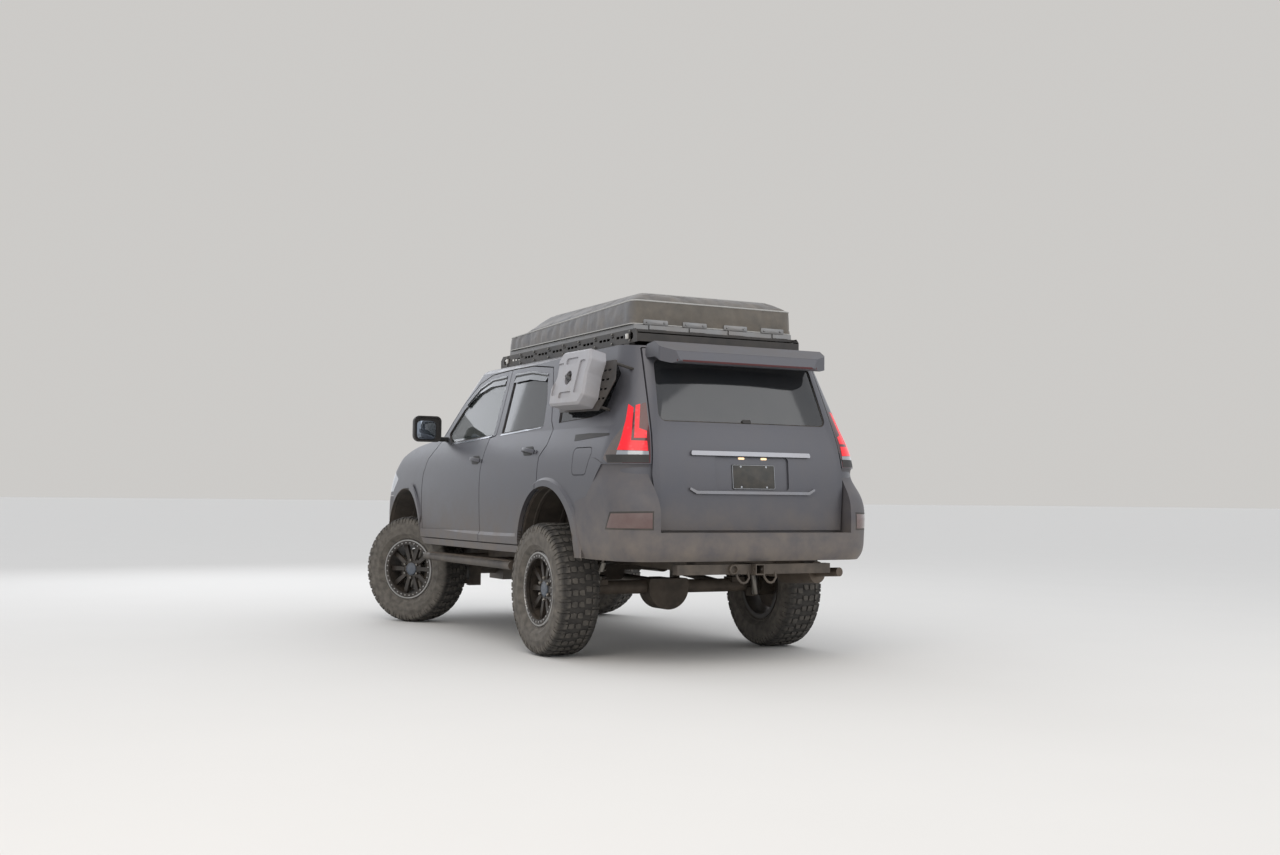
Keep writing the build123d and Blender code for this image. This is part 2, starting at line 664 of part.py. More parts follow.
for name, part in (("rim", rim), ("tyre", tyre)):
    left = Pos(0, half_track, axle_height) * part
    right = Pos(0, -half_track, axle_height) * half_turn * part
    nodes[name + "_rear_left"] = left
    nodes[name + "_rear_right"] = right
    nodes[name + "_front_left"] = steered(Pos(wheelbase, 0, 0) * left, 1)
    nodes[name + "_front_right"] = steered(Pos(wheelbase, 0, 0) * right, -1)

# Axles and knuckles, each with its brake disc and caliper inside the rim
hub_end = half_track + hub_face - seat_gap
spindle_end = half_track + hub_face + hub_depth
disc_radius = 160
disc_thickness = 24
caliper_radius = 190


def brake(x):
    """A disc on the hub with a caliper over its rear edge."""
    y0 = half_track - 20
    disc = rod((x, y0, axle_height), (x, y0 + disc_thickness, axle_height), disc_radius)
    clamp = rod((x, y0 - 22, axle_height), (x, y0 + disc_thickness + 14, axle_height), caliper_radius)
    clamp -= rod((x, y0 - 23, axle_height), (x, y0 + disc_thickness + 15, axle_height), 112)
    clamp = clamp & block(x - 200, x - 60, y0 - 22, y0 + disc_thickness + 14, axle_height - 75, axle_height + 75)
    return disc + clamp


pinion_z = axle_height + 12
axle_top = 478
axle = both(rod((0, 0, axle_height), (0, 700, axle_height), 45))
axle += both(rod((0, 695, axle_height), (0, hub_end, axle_height), 72))
axle += both(rod((0, 700, axle_height), (0, spindle_end, axle_height), spindle_radius))
axle += Pos(0, 30, axle_height) * Rot(0, 90, 0) * Cylinder(150, 150)
axle += rod((60, 0, pinion_z - 2.3), (190, 0, pinion_z), 60)
axle += both(block(-55, 55, 470, 570, axle_height + 20, axle_top) + block(-100, -30, 595, 635, 350, 410))
axle = axle & block(-400, 400, -beyond, beyond, 200, axle_top)
nodes["rear_axle"] = axle + both(brake(0))
knuckle = rod((wheelbase, kingpin, arm_top + 0.3), (wheelbase, kingpin, upper_arm_bottom - seat_gap), 27)
knuckle += rod((wheelbase, kingpin - 30, axle_height), (wheelbase, hub_end, axle_height), 66)
knuckle += rod((wheelbase, kingpin, axle_height), (wheelbase, spindle_end, axle_height), spindle_radius)
knuckle += brake(wheelbase)
nodes["knuckle_left"] = steered(knuckle, 1)
nodes["knuckle_right"] = steered(mirrored(knuckle), -1)

# Front wishbones, and the links that hold the rear axle
lower_foot = 400 + seat_gap
lower_arm = outline([
    (wheelbase - 150, lower_foot), (wheelbase + 150, lower_foot), (wheelbase + 45, kingpin), (wheelbase - 45, kingpin),
]) + Pos(wheelbase, kingpin) * Circle(45)
lower_arm -= outline([
    (wheelbase - 85, 440), (wheelbase + 85, 440), (wheelbase + 25, 640), (wheelbase - 25, 640),
])
upper_foot = 470 + seat_gap
upper_arm = outline([
    (wheelbase - 125, upper_foot), (wheelbase + 125, upper_foot), (wheelbase + 32, kingpin), (wheelbase - 32, kingpin),
]) + Pos(wheelbase, kingpin) * Circle(32)
upper_arm -= outline([
    (wheelbase - 80, 470), (wheelbase + 80, 470), (wheelbase + 22, 640), (wheelbase - 22, 640),
])
arms = upward(lower_arm, arm_top - 29.7, arm_top)
arms += upward(upper_arm, upper_arm_bottom, upper_arm_bottom + 23.7)
arms += rod((660, 450.3, 475), (660, 490, 475), 24)
arms += rod((660, 475, 475), (40, 610, 395), 22)
arms -= rod((0, 0, axle_height), (0, 700, axle_height), 45 + seat_gap)
nodes["suspension_arms"] = both(arms)

# Springs over their dampers
strut_y = 530
front_spring = rod((wheelbase, strut_y, 470), (wheelbase, strut_y, 930), 26)
front_spring += rod((wheelbase, strut_y, 520), (wheelbase, strut_y, 900), 50)
front_spring += rod((wheelbase, strut_y, 900), (wheelbase, strut_y, 930), 58)
front_spring += block(wheelbase - 52, wheelbase + 52, strut_y - 20, strut_y + 20, 330, 500)
front_spring -= block(wheelbase - 34, wheelbase + 34, strut_y - 30, strut_y + 30, 320, 470)
rear_spring = rod((10, 520, axle_top + seat_gap), (10, 520, 612 - seat_gap), 62)
rear_damper = rod((-126, 613, 380), (-150, 560, 615.5), 25) + rod((-100.3, 615, 380), (-140, 615, 380), 18)
nodes["springs_and_dampers"] = both(front_spring + rear_spring + rear_damper)

# Engine as one block, then gearbox, transfer box, propeller shafts and front half shafts
nodes["engine_block"] = block(wheelbase - 318, wheelbase + 390, -230, 230, 600.3, 1080)
driveline = block(wheelbase - 1030, wheelbase - 320, -150, 150, 440, 636)
driveline += block(wheelbase - 1290, wheelbase - 1025, -240, 150, 430, 620)
driveline += rod((wheelbase - 1290, 0, 458), (190 + seat_gap, 0, pinion_z), 34)
driveline += rod((wheelbase - 1050, -190, 470), (wheelbase - 190, -120, 440), 28)
driveline += block(wheelbase - 190, wheelbase + 110, -170, 120, 330, 500)
half_shaft = rod((wheelbase, 100, axle_height), (wheelbase, kingpin - 73, axle_height), 22)
half_shaft += rod((wheelbase, 100, axle_height), (wheelbase, 270, axle_height), 50)
nodes["driveline"] = driveline + both(half_shaft)

# Exhaust: down pipe, silencer under the floor, over the axle to the right rear
pipe_path = FilletPolyline(
    (wheelbase - 170, -258.3, 760), (wheelbase - 365, -310, 602), (380, -310, 604), (120, -330, 545),
    (-230, -330, 540), (-520, -560, 530), (tail + 100, -640, 560),
    radius=120,
)
pipe = sweep(Plane(origin=pipe_path @ 0, z_dir=pipe_path % 0) * Circle(28), path=pipe_path)
pipe += Pos(900, -300, 556) * Rot(0, 90, 0) * Cylinder(72, 560)
pipe += rod((-560, -566, 532), (-860, -611, 549), 70)
nodes["exhaust"] = pipe
nodes["fuel_tank"] = fillet(block(520, 1230, 60, 380, 440, frame_top).edges().filter_by(Axis.X), 40)

# Step tubes along the sills, on legs from the frame
step_y = half_width - 35
step_z = 548
step_rear = 520
step_front = firewall - 90
step = rod((step_rear, step_y, step_z), (step_front, step_y, step_z), 30)
for x in (step_rear + 100, (step_rear + step_front) / 2 - 5, step_front - 110):
    step += rod((x, rail_outer + seat_gap, step_z), (x, step_y - 5, step_z), 22)
nodes["side_steps"] = both(step)

# Tow hitch: a square receiver that passes under a cross tube at the frame's end
hitch_z = 588
receiver_outer = 63.5
receiver_inner = 50.8
receiver_mouth = tail + 10
pin_radius = 8.15
pin_x = receiver_mouth + 23
beam_rear = tail + 60
beam_front = tail + 120 - seat_gap
hitch = block(beam_rear, beam_front, -540, 540, hitch_z - 30, hitch_z + 30)
half_outer = receiver_outer / 2
half_inner = receiver_inner / 2
hitch += block(receiver_mouth, tail + 260, -half_outer, half_outer, hitch_z - half_outer, hitch_z + half_outer)
hitch -= block(receiver_mouth - 1, tail + 240, -half_inner, half_inner, hitch_z - half_inner, hitch_z + half_inner)
hitch -= rod((pin_x, -receiver_outer, hitch_z), (pin_x, receiver_outer, hitch_z), pin_radius)
nodes["hitch_receiver"] = hitch

# Roof rack: slotted side rails on feet, end rails and cross slats
rack_rear = tail + 496
rack_front = firewall - 800
rack_half = half_width - 345.35
rack_bottom = roof_top - 20
rack_top = rack_bottom + 84
rack_plate = 6
slat_count = 9
slat_half = 40
foot_count = 4
slot_pitch = 55
slots_in_bay = 3
bay_pitch = 245
end_margin = 122
rail_face = outline([
    (rack_rear, rack_bottom), (rack_front, rack_bottom), (rack_front, rack_top - 30), (rack_front - 40, rack_top),
    (rack_rear + 25, rack_top), (rack_rear, rack_top - 25),
])
slots = Sketch()
slot_z = rack_bottom + 44
for index in range(int((rack_front - rack_rear - 2 * end_margin) // bay_pitch)):
    start = rack_rear + 150 + index * bay_pitch
    for step_along in range(slots_in_bay):
        slots += Pos(start + step_along * slot_pitch, slot_z) * SlotOverall(42, 16)
    for hole_x in (start + 170, start + 190):
        slots += Pos(hole_x, slot_z + 10) * Circle(7)
for x in (rack_rear + 75, rack_front - 85):
    slots += Pos(x, slot_z - 2) * Circle(24)
rail = across(rail_face - slots, rack_half - rack_plate, rack_half)
rail += block(rack_rear, rack_front - 40, rack_half - 40, rack_half - rack_plate + 1, rack_top - 22, rack_top - 16)
rack = both(rail)
for x in (rack_rear, rack_front - rack_plate):
    rack += block(x, x + rack_plate, -rack_half, rack_half, rack_bottom + 4, rack_top - 30)
for index in range(slat_count):
    x = rack_rear + 90 + index * (rack_front - rack_rear - 220) / (slat_count - 1)
    rack += block(x - slat_half, x + slat_half, 2 - rack_half, rack_half - 2, rack_top - 16, rack_top)
feet = Part()
for index in range(foot_count):
    x = rack_rear + 144 + index * (rack_front - rack_rear - 304) / (foot_count - 1)
    feet += block(x - 35, x + 35, rack_half - 42, rack_half - 2, roof_top - 108, rack_bottom + 20)
nodes["roof_rack"] = rack + both(feet - over_roof)

# Roof tent: a flat base on the rack, and the closed tent under its travel cover
tent_rear = rack_rear + 70
tent_front = rack_front - 140
tent_half = 592
tent_base = rack_top + seat_gap
tent_base_top = rack_top + 33
seam_rear = rack_top + 184
seam_front = rack_top + 127
tent_top = rack_top + 244
tent_floor = block(tent_rear, tent_front, 12 - tent_half, tent_half - 12, tent_base, tent_base_top)
for y in (-493, -160, 127, 415):
    tent_floor += block(tent_rear - 8, tent_rear + 60, y - 60, y + 60, rack_top + 4, tent_base_top - 4)
nodes["tent_base"] = tent_floor


def tent_section(x0, x1, half, z0, z1):
    """One level of the cover, which may stand higher at the rear than in front."""
    corners = [(x0, -half, z0), (x1, -half, z1), (x1, half, z1), (x0, half, z0)]
    return make_face(Polyline(*corners, close=True))


cover_foot = tent_base_top + seat_gap
nodes["tent_cover"] = loft([
    tent_section(tent_rear, tent_front, tent_half, cover_foot, cover_foot),
    tent_section(tent_rear + 6, tent_front - 4, tent_half - 8, seam_rear, seam_front),
    tent_section(tent_rear + 104, tent_front - 540, 470, tent_top, tent_top),
], ruled=True)

# Fuel can on a slotted panel that stands off the left quarter window
lean = 14
panel_wall = 5
panel_origin = (-400, half_width - 118, roof_top - 298)
panel_plane = Plane(origin=panel_origin, x_dir=(-1, 0, 0), z_dir=(0, cos(radians(lean)), sin(radians(lean))))
panel_face = outline([(-290, -150), (300, -165), (425, 20), (380, 150), (-290, 160)], 20)
panel_columns = 10
column_pitch = 62
for column in range(panel_columns):
    for row in (-90, -30, 30, 90):
        panel_face -= Pos(-240 + column * column_pitch, row) * SlotOverall(44, 14)
panel = extrude(panel_plane * panel_face, amount=panel_wall)
posts = Part()
for x, y in ((-270, -130), (-270, 140), (290, -140), (360, 130)):
    posts += extrude(panel_plane * (Pos(x, y) * Circle(9)), amount=-140)
nodes["can_panel"] = panel + (posts - over_roof)
can_depth = 112
can_face = Pos(40, 30) * outline([
    (-285, -60), (-262, -170), (165, -180), (215, -120), (190, 20), (205, 110), (165, 175), (-215, 180),
    (-262, 120), (-245, 20),
], 22)
can_back = panel_plane.offset(panel_wall + seat_gap)
can = extrude(can_back * can_face, amount=can_depth)
can = chamfer(can.faces().sort_by(Axis.Y)[-1].edges(), 14)
for centre, size in (((-170, 30), (90, 210)), ((150, 30), (80, 210)), ((-10, 140), (170, 40)), ((-10, -80), (170, 40))):
    pocket = Pos(*centre) * RectangleRounded(*size, 18)
    can -= extrude(can_back.offset(can_depth - 9) * pocket, amount=20)
can -= extrude(can_back.offset(can_depth - 22) * (Pos(-10, 30) * Circle(46)), amount=30)
nodes["fuel_can"] = can

# Door mirrors: a tapered shell with the glass set in its back, on an arm from the door
mirror_x = firewall - 355
mirror_y = half_width + 84
mirror_z = belt + 78


def mirror_section(x, width, height, rounding):
    face = RectangleRounded(width, height, rounding)
    return Plane.YZ.offset(x) * (Pos(mirror_y, mirror_z) * face)


mirror_shell = loft([
    mirror_section(mirror_x - 58, 214, 196, 40),
    mirror_section(mirror_x - 8, 210, 190, 42),
    mirror_section(mirror_x + 52, 150, 132, 40),
])
mirror_shell = fillet(mirror_shell.faces().sort_by(Axis.X)[-1].edges(), 18)
glass_pocket = extrude(mirror_section(mirror_x - 60, 190, 172, 30), amount=12)
mirror_arm = block(mirror_x - 10, mirror_x + 50, half_width - 100, mirror_y - 40, belt - 12, belt + 22)
mirror_arm = fillet(mirror_arm.edges().filter_by(Axis.Y), 12)
door_mirror = mirror_shell - glass_pocket + (mirror_arm - over_roof)
nodes["mirror_left"] = door_mirror
nodes["mirror_right"] = mirrored(door_mirror)

# Inside: seats, dashboard and steering wheel
seat_foot = floor_top + seat_gap
front_seat_side = outline([
    (firewall - 780, seat_foot), (firewall - 770, 950), (firewall - 840, 1010), (firewall - 1200, 985),
    (firewall - 1340, 1470), (firewall - 1355, 1650), (firewall - 1435, 1650), (firewall - 1445, 1470),
    (firewall - 1365, 980), (firewall - 1365, seat_foot),
], 20)
rear_seat_side = outline([
    (720, seat_foot), (720, 930), (650, 985), (310, 960), (180, 1480), (150, 1630), (75, 1630), (85, 1470),
    (175, 930), (175, seat_foot),
], 20)
nodes["front_seats"] = both(across(front_seat_side, 140, 640))
nodes["rear_seat"] = across(rear_seat_side, -580, 580)
dash_half = half_width - 210
dash_front = firewall - seat_gap
dash_side = outline([
    (dash_front, 980), (dash_front, 1395), (firewall - 140, 1412), (firewall - 380, 1340), (firewall - 440, 1240),
    (firewall - 370, 1100), (firewall - 230, 1000),
], 12)
nodes["dashboard"] = across(dash_side, -dash_half, dash_half)
hand_wheel = Torus(180, 15) + Cylinder(55, 30) + Box(340, 34, 14) + Pos(0, 0, -70) * Cylinder(24, 130)
hand_wheel = Pos(firewall - 540, 380, 1240) * Rot(0, -65, 0) * hand_wheel
nodes["steering_wheel"] = hand_wheel - across(grown(dash_side, seat_gap), -dash_half, dash_half)

to_row_frame = Pos((rear_overhang - front_overhang - wheelbase) / 2, 0, tyre_radius - axle_height)
for name, part in nodes.items():
    export_step(to_row_frame * part, "parts/" + name + ".step")
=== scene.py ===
import math
import bmesh
import bpy
from mathutils import Matrix, Vector
from mathutils.bvhtree import BVHTree


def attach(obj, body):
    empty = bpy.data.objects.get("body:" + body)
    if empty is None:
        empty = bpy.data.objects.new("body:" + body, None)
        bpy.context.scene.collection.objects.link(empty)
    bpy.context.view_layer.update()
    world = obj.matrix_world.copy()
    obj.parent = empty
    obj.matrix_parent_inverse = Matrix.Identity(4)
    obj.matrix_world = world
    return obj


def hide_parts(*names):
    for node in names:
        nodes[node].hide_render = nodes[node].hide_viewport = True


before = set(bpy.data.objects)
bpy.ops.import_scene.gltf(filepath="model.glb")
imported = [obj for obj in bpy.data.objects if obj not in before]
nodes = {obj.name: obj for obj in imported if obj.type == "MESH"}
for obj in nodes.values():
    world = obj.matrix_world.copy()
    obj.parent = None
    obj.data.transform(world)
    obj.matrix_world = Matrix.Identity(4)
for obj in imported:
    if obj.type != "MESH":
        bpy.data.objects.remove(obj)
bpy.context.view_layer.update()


# Ladder frame and tow hitch: two welded box rails of pressed steel joined by cross tubes,
# with the square receiver for a drawbar on the rear one. Dipped in black enamel, and by
# now under a film of desert dust.
def linear(hex_colour):
    """An sRGB hex colour as the linear values that Blender's sockets take."""
    channels = [int(hex_colour[i:i + 2], 16) / 255 for i in (1, 3, 5)]
    return [c / 12.92 if c <= 0.04045 else ((c + 0.055) / 1.055) ** 2.4 for c in channels] + [1.0]


def per_metre(millimetres):
    """A texture scale from the real size of one grain, in millimetres."""
    return 1000.0 / millimetres


def add(tree, kind, inputs=None, **settings):
    """Adds one shader node with its settings, and sets or links its inputs."""
    made = tree.nodes.new(kind)
    for key, value in settings.items():
        setattr(made, key, value)
    for key, value in (inputs or {}).items():
        if isinstance(value, bpy.types.NodeSocket):
            tree.links.new(value, made.inputs[key])
        else:
            made.inputs[key].default_value = value
    return made


def new_material(name, roughness=0.5, metallic=0.0, ior=1.5, values=None):
    """A material, and its coat: its tree, its shader and the place on the piece in metres."""
    material = bpy.data.materials.new(name)
    material.use_nodes = True
    tree = material.node_tree
    shader = tree.nodes["Principled BSDF"]
    constants = {"Roughness": roughness, "Metallic": metallic, **(values or {})}
    if not metallic:
        constants["IOR"] = ior
    for socket, value in constants.items():
        shader.inputs[socket].default_value = value
    place = add(tree, "ShaderNodeTexCoord").outputs["Object"]
    return material, (tree, shader, place)


def grain(coat, size_mm, strength, depth_mm):
    """A fine all-over surface grain as bump, from the size and depth of the real one."""
    tree, shader, place = coat
    speckle = add(tree, "ShaderNodeTexNoise", {
        "Vector": place, "Scale": per_metre(size_mm), "Detail": 4,
    })
    bump = add(tree, "ShaderNodeBump", {
        "Height": speckle.outputs["Fac"], "Strength": strength, "Distance": depth_mm / 1000,
    })
    tree.links.new(bump.outputs["Normal"], shader.inputs["Normal"])


def dusty(coat, base, dust_hex, low_z, high_z, most, least, patch_mm=140):
    """Lays dust on a colour: thick below low_z, thin above high_z, and thicker on flat tops.
    Heights are in the frame's metres; most and least are the dust's share of the colour."""
    tree, shader, place = coat
    if isinstance(base, str):
        base = linear(base)
    z = add(tree, "ShaderNodeSeparateXYZ", {"Vector": place}).outputs["Z"]
    height = add(tree, "ShaderNodeMapRange", {
        "Value": z, "From Min": low_z, "From Max": high_z, "To Min": most, "To Max": least,
    }, interpolation_type="SMOOTHSTEP").outputs["Result"]
    up = add(tree, "ShaderNodeSeparateXYZ", {
        "Vector": add(tree, "ShaderNodeNewGeometry").outputs["Normal"],
    }).outputs["Z"]
    flat = add(tree, "ShaderNodeMapRange", {
        "Value": up, "From Min": 0.5, "From Max": 1.0, "To Min": 0.0, "To Max": 0.22,
    }).outputs["Result"]
    patches = add(tree, "ShaderNodeTexNoise", {
        "Vector": place, "Scale": per_metre(patch_mm), "Detail": 8.0, "Roughness": 0.62,
    }).outputs["Fac"]
    spread = add(tree, "ShaderNodeMapRange", {
        "Value": patches, "From Min": 0.32, "From Max": 0.72, "To Min": 0.35, "To Max": 1.3,
    }).outputs["Result"]
    both = add(tree, "ShaderNodeMath", {0: height, 1: flat}, operation="ADD").outputs["Value"]
    share = add(tree, "ShaderNodeMath", {0: both, 1: spread}, operation="MULTIPLY", use_clamp=True)
    mixed = add(tree, "ShaderNodeMix", {
        "Factor": share.outputs["Value"], "A": base, "B": linear(dust_hex),
    }, data_type="RGBA")
    tree.links.new(mixed.outputs["Result"], shader.inputs["Base Color"])
    return share.outputs["Value"]


def finish(material, *names):
    """Gives CAD nodes their material."""
    for name in names:
        mesh = nodes[name].data
        mesh.materials.clear()
        mesh.materials.append(material)


axle_to_middle = 1279.5


def at(x, y, z):
    """A point given in millimetres from the rear axle's middle, ground level, in the frame."""
    return Vector(((x - axle_to_middle) / 1000, y / 1000, z / 1000))


# Enamel over mill scale: dull black with a coarse skin under the dust.
road_dust = "#7d7062"
frame_enamel, coat = new_material("black_chassis_enamel", 0.62)
dusty(coat, "#1c1b1b", road_dust, 0.3, 0.9, 0.5, 0.28)
grain(coat, 5, 0.35, 1.2)
finish(frame_enamel, "ladder_frame", "hitch_receiver")


# Tow gear behind the bumper: two safety chain loops of bent bar welded to the cross beam and
# the round trailer plug, in the frame's black enamel under the same dust.
def joined(*shapes):
    """Several shapes as one list of points and one of faces."""
    points, faces = [], []
    for shape_points, shape_faces in shapes:
        start = len(points)
        points += [Vector(p) for p in shape_points]
        faces += [[start + i for i in face] for face in shape_faces]
    return points, faces


def mirrored(shape):
    """The same shape on the other side of the vehicle."""
    return [Vector((p[0], -p[1], p[2])) for p in shape[0]], [list(reversed(face)) for face in shape[1]]


def swept(path, section, outward=None, closed=False):
    """A section of (across, out) points carried along a path; outward turns it to a surface."""
    count, sides = len(path), len(section)
    points = []
    last_out = None
    for i, here in enumerate(path):
        ahead = path[(i + 1) % count] if closed or i < count - 1 else here
        behind = path[i - 1] if closed or i > 0 else here
        along = (Vector(ahead) - Vector(behind)).normalized()
        if outward:
            out = Vector(outward[i])
        elif last_out is None:
            out = Vector((0, 0, 1)) if abs(along.z) < 0.9 else Vector((1, 0, 0))
        else:
            out = last_out
        across = along.cross(out).normalized()
        out = across.cross(along).normalized()
        last_out = out
        points += [Vector(here) + across * a + out * b for a, b in section]
    faces = []
    for i in range(count if closed else count - 1):
        j = (i + 1) % count
        for k in range(sides):
            m = (k + 1) % sides
            faces.append([i * sides + k, j * sides + k, j * sides + m, i * sides + m])
    if not closed:
        faces.append(list(range(sides)))
        faces.append([(count - 1) * sides + k for k in reversed(range(sides))])
    return points, faces


def round_section(radius, sides=10):
    """A round bar's section, for swept."""
    turns = [2 * math.pi * k / sides for k in range(sides)]
    return [(radius * math.cos(turn), radius * math.sin(turn)) for turn in turns]


def ring_faces(rings, sides, open_sides=False):
    """The faces between rings of points that follow one another, each joined to the next."""
    faces = []
    for i in range(rings - 1):
        low, high = i * sides, (i + 1) * sides
        for k in range(sides - 1 if open_sides else sides):
            m = (k + 1) % sides
            faces.append([low + k, low + m, high + m, high + k])
    return faces


def lathe(profile, sides=32, ring=False):
    """A turned shape about the local w axis, from (radius, w) points: closed flat at both ends,
    or a ring whose profile runs round to its start."""
    points = []
    for radius, w in profile:
        for k in range(sides):
            angle = 2 * math.pi * k / sides
            points.append(Vector((radius * math.cos(angle), radius * math.sin(angle), w)))
    faces = ring_faces(len(profile), sides)
    end = (len(profile) - 1) * sides
    if ring:
        faces += [[end + k, end + (k + 1) % sides, (k + 1) % sides, k] for k in range(sides)]
    else:
        faces += [list(reversed(range(sides))), [end + k for k in range(sides)]]
    return points, faces


def placed(shape, origin, outward, up=(0, 0, 1)):
    """Stands a local shape on a surface: its w axis outward and its v axis up."""
    w = Vector(outward).normalized()
    u = Vector(up).cross(w).normalized()
    v = w.cross(u)
    return [Vector(origin) + u * p[0] + v * p[1] + w * p[2] for p in shape[0]], shape[1]


def piece(name, shape, material, body, slot_name, sharp_deg=38, wheel=None):
    """One mesh piece of the object: made, finished and set on its body; its slot_name is not used."""
    mesh = bpy.data.meshes.new(name)
    points = [Vector(p) / 1000 for p in shape[0]] if wheel else [at(*p) for p in shape[0]]
    mesh.from_pydata([tuple(p) for p in points], [], shape[1])
    work = bmesh.new()
    work.from_mesh(mesh)
    bmesh.ops.recalc_face_normals(work, faces=work.faces)
    work.to_mesh(mesh)
    work.free()
    mesh.shade_smooth()
    mesh.set_sharp_from_angle(angle=math.radians(sharp_deg))
    mesh.materials.append(material)
    made = bpy.data.objects.new(name, mesh)
    bpy.context.scene.collection.objects.link(made)
    if wheel:
        made.matrix_world = wheel
    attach(made, body)
    return made


def chain_loop(y):
    """A bent bar that hangs from the cross beam's lower edge."""
    limb = [(-1098, 42, 570), (-1112, 40, 536), (-1116, 20, 512)]
    bend = [(x, y - a, z) for x, a, z in limb] + [(-1117, y, 506)]
    bend += [(x, y + a, z) for x, a, z in reversed(limb)]
    return swept(bend, round_section(7))


chain_y = 95
plug_profile = [(20, 0), (30, 4), (30, 20), (26, 24), (22, 24), (22, 6), (5, 6)]
plug = placed(lathe(plug_profile, 20), (-1100, 165, 588), (-1, 0, 0))
tow_gear = joined(chain_loop(chain_y), chain_loop(-chain_y), plug)
piece("tow_gear", tow_gear, frame_enamel, "chassis", "chassis_black")

# Rear axle, hubs, knuckles and wishbones: cast and forged iron, left nearly bare, so the
# skin is coarse from the sand mould and the dust stays in it.
cast_iron, coat = new_material("sand_cast_iron", 0.7, 0.2)
dusty(coat, "#2a2827", road_dust, 0.25, 0.8, 0.55, 0.3)
grain(coat, 3, 0.6, 1.0)
finish(cast_iron, "rear_axle", "knuckle_left", "knuckle_right", "suspension_arms")


# Springs and dampers: coils of round spring steel over a strut in front, short coils at the
# rear with the damper beside them. Powder coated black, the damper tubes zinc plated steel.
def shrunk(outline, amount):
    """An anticlockwise outline moved inwards, corner by corner."""
    moved = []
    for i, here in enumerate(outline):
        before = Vector(here) - Vector(outline[i - 1])
        after = Vector(outline[(i + 1) % len(outline)]) - Vector(here)
        normal_1 = Vector((-before.y, before.x)).normalized()
        normal_2 = Vector((-after.y, after.x)).normalized()
        moved.append(Vector(here) + (normal_1 + normal_2) * amount / max(0.25, 1 + normal_1.dot(normal_2)))
    return moved


def prism(outline, low, high, edge=1.0):
    """A plate or block from an anticlockwise outline, its top edge rounded off."""
    rings = [(outline, low), (outline, high - edge)]
    rings += [(shrunk(outline, edge * 0.3), high - edge * 0.3), (shrunk(outline, edge), high)]
    count = len(outline)
    points = [Vector((p[0], p[1], w)) for ring, w in rings for p in ring]
    ends = [list(reversed(range(count))), [3 * count + k for k in range(count)]]
    return points, ends + ring_faces(len(rings), count)


def rounded(width, height, radius, steps=4):
    """An anticlockwise rectangle with round corners, about its middle."""
    outline = []
    for corner, (sx, sy) in enumerate(((1, 1), (-1, 1), (-1, -1), (1, -1))):
        for k in range(steps + 1):
            angle = math.pi / 2 * (corner + k / steps)
            across = sx * (width / 2 - radius) + radius * math.cos(angle)
            outline.append((across, sy * (height / 2 - radius) + radius * math.sin(angle)))
    return outline


def helix(x, y, radius, low, high, turns, per_turn=22):
    """The line of a coil spring, its end coils closed."""
    closed_turns = 0.6
    line = []
    for k in range(int(turns * per_turn) + 1):
        share = k / (turns * per_turn)
        rise = min(1, max(0, (share * turns - closed_turns) / (turns - 2 * closed_turns)))
        angle = 2 * math.pi * share * turns
        spot = (x + radius * math.cos(angle), y + radius * math.sin(angle))
        line.append((*spot, low + (high - low) * rise))
    return line


# Powder coat over the wire: half matt black with a fine orange-peel skin.
spring_steel, coat = new_material("powder_coated_spring_steel", 0.42)
dusty(coat, "#202124", road_dust, 0.4, 0.9, 0.4, 0.2)
grain(coat, 1.5, 0.2, 0.2)
# Zinc plate: a pale metal, smooth, greyed by dust.
damper_steel, coat = new_material("zinc_plated_damper_tube", 0.4, 1.0)
dusty(coat, "#8b8a86", road_dust, 0.3, 0.8, 0.45, 0.25)
grain(coat, 2, 0.12, 0.1)
strut_x, strut_y = 2790, 530
front_coil = swept(helix(strut_x, strut_y, 43, 529, 891, 7), round_section(7))
rear_coil = swept(helix(10, 520, 53, 487, 603, 3.4), round_section(8))
coils = joined(front_coil, mirrored(front_coil), rear_coil, mirrored(rear_coil))
piece("coil_springs", coils, spring_steel, "chassis", "chassis_black")
upright, across_car, along_car = (0, 0, 1), (0, 1, 0), (1, 0, 0)
# The strut's tube with its spring seat, its rod, and the top mount, as (radius, height)
strut_profile = [(10, 470), (27, 471), (27, 512), (50, 516), (50, 521), (30, 526), (30, 700), (26, 704)]
strut_profile += [(11, 706), (11, 900), (57, 901), (57, 922), (40, 930), (12, 930)]
strut = placed(lathe(strut_profile), (strut_x, strut_y, 0), upright, along_car)
prong = prism(rounded(18, 40, 6), 331, 500, 3)
yoke = prism(rounded(104, 40, 8), 470, 500, 3)
fork = [placed(prong, (strut_x + side, strut_y, 0), upright, across_car) for side in (-43, 43)]
fork.append(placed(yoke, (strut_x, strut_y, 0), upright, across_car))
damper_lean = Vector((-24, -53, 235.5))
damper_profile = [(16, -14), (25, -12), (25, 130), (22, 134), (8, 135)]
damper_profile += [(8, 160), (28, 162), (28, 222), (14, 226), (14, 241)]
rear_damper = placed(lathe(damper_profile), (-126, 613, 380), damper_lean, along_car)
eye = placed(lathe([(18, -20), (18, 20), (8, 20), (8, -20)], 20), (-120, 615, 380), along_car)
dampers = joined(strut, *fork, rear_damper, eye)
struts = piece("dampers", joined(dampers, mirrored(dampers)), damper_steel, "chassis", "chassis_black")
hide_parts("springs_and_dampers")


# Engine, gearbox and shafts: aluminium castings, grey and matt with a sandy skin.
def mottled(coat, dark, light, size_mm):
    """A colour that drifts between two, in patches of a real size."""
    tree, _, place = coat
    patches = add(tree, "ShaderNodeTexNoise", {
        "Vector": place, "Scale": per_metre(size_mm), "Detail": 5.0,
    })
    return add(tree, "ShaderNodeMix", {
        "Factor": patches.outputs["Fac"], "A": linear(dark), "B": linear(light),
    }, data_type="RGBA").outputs["Result"]


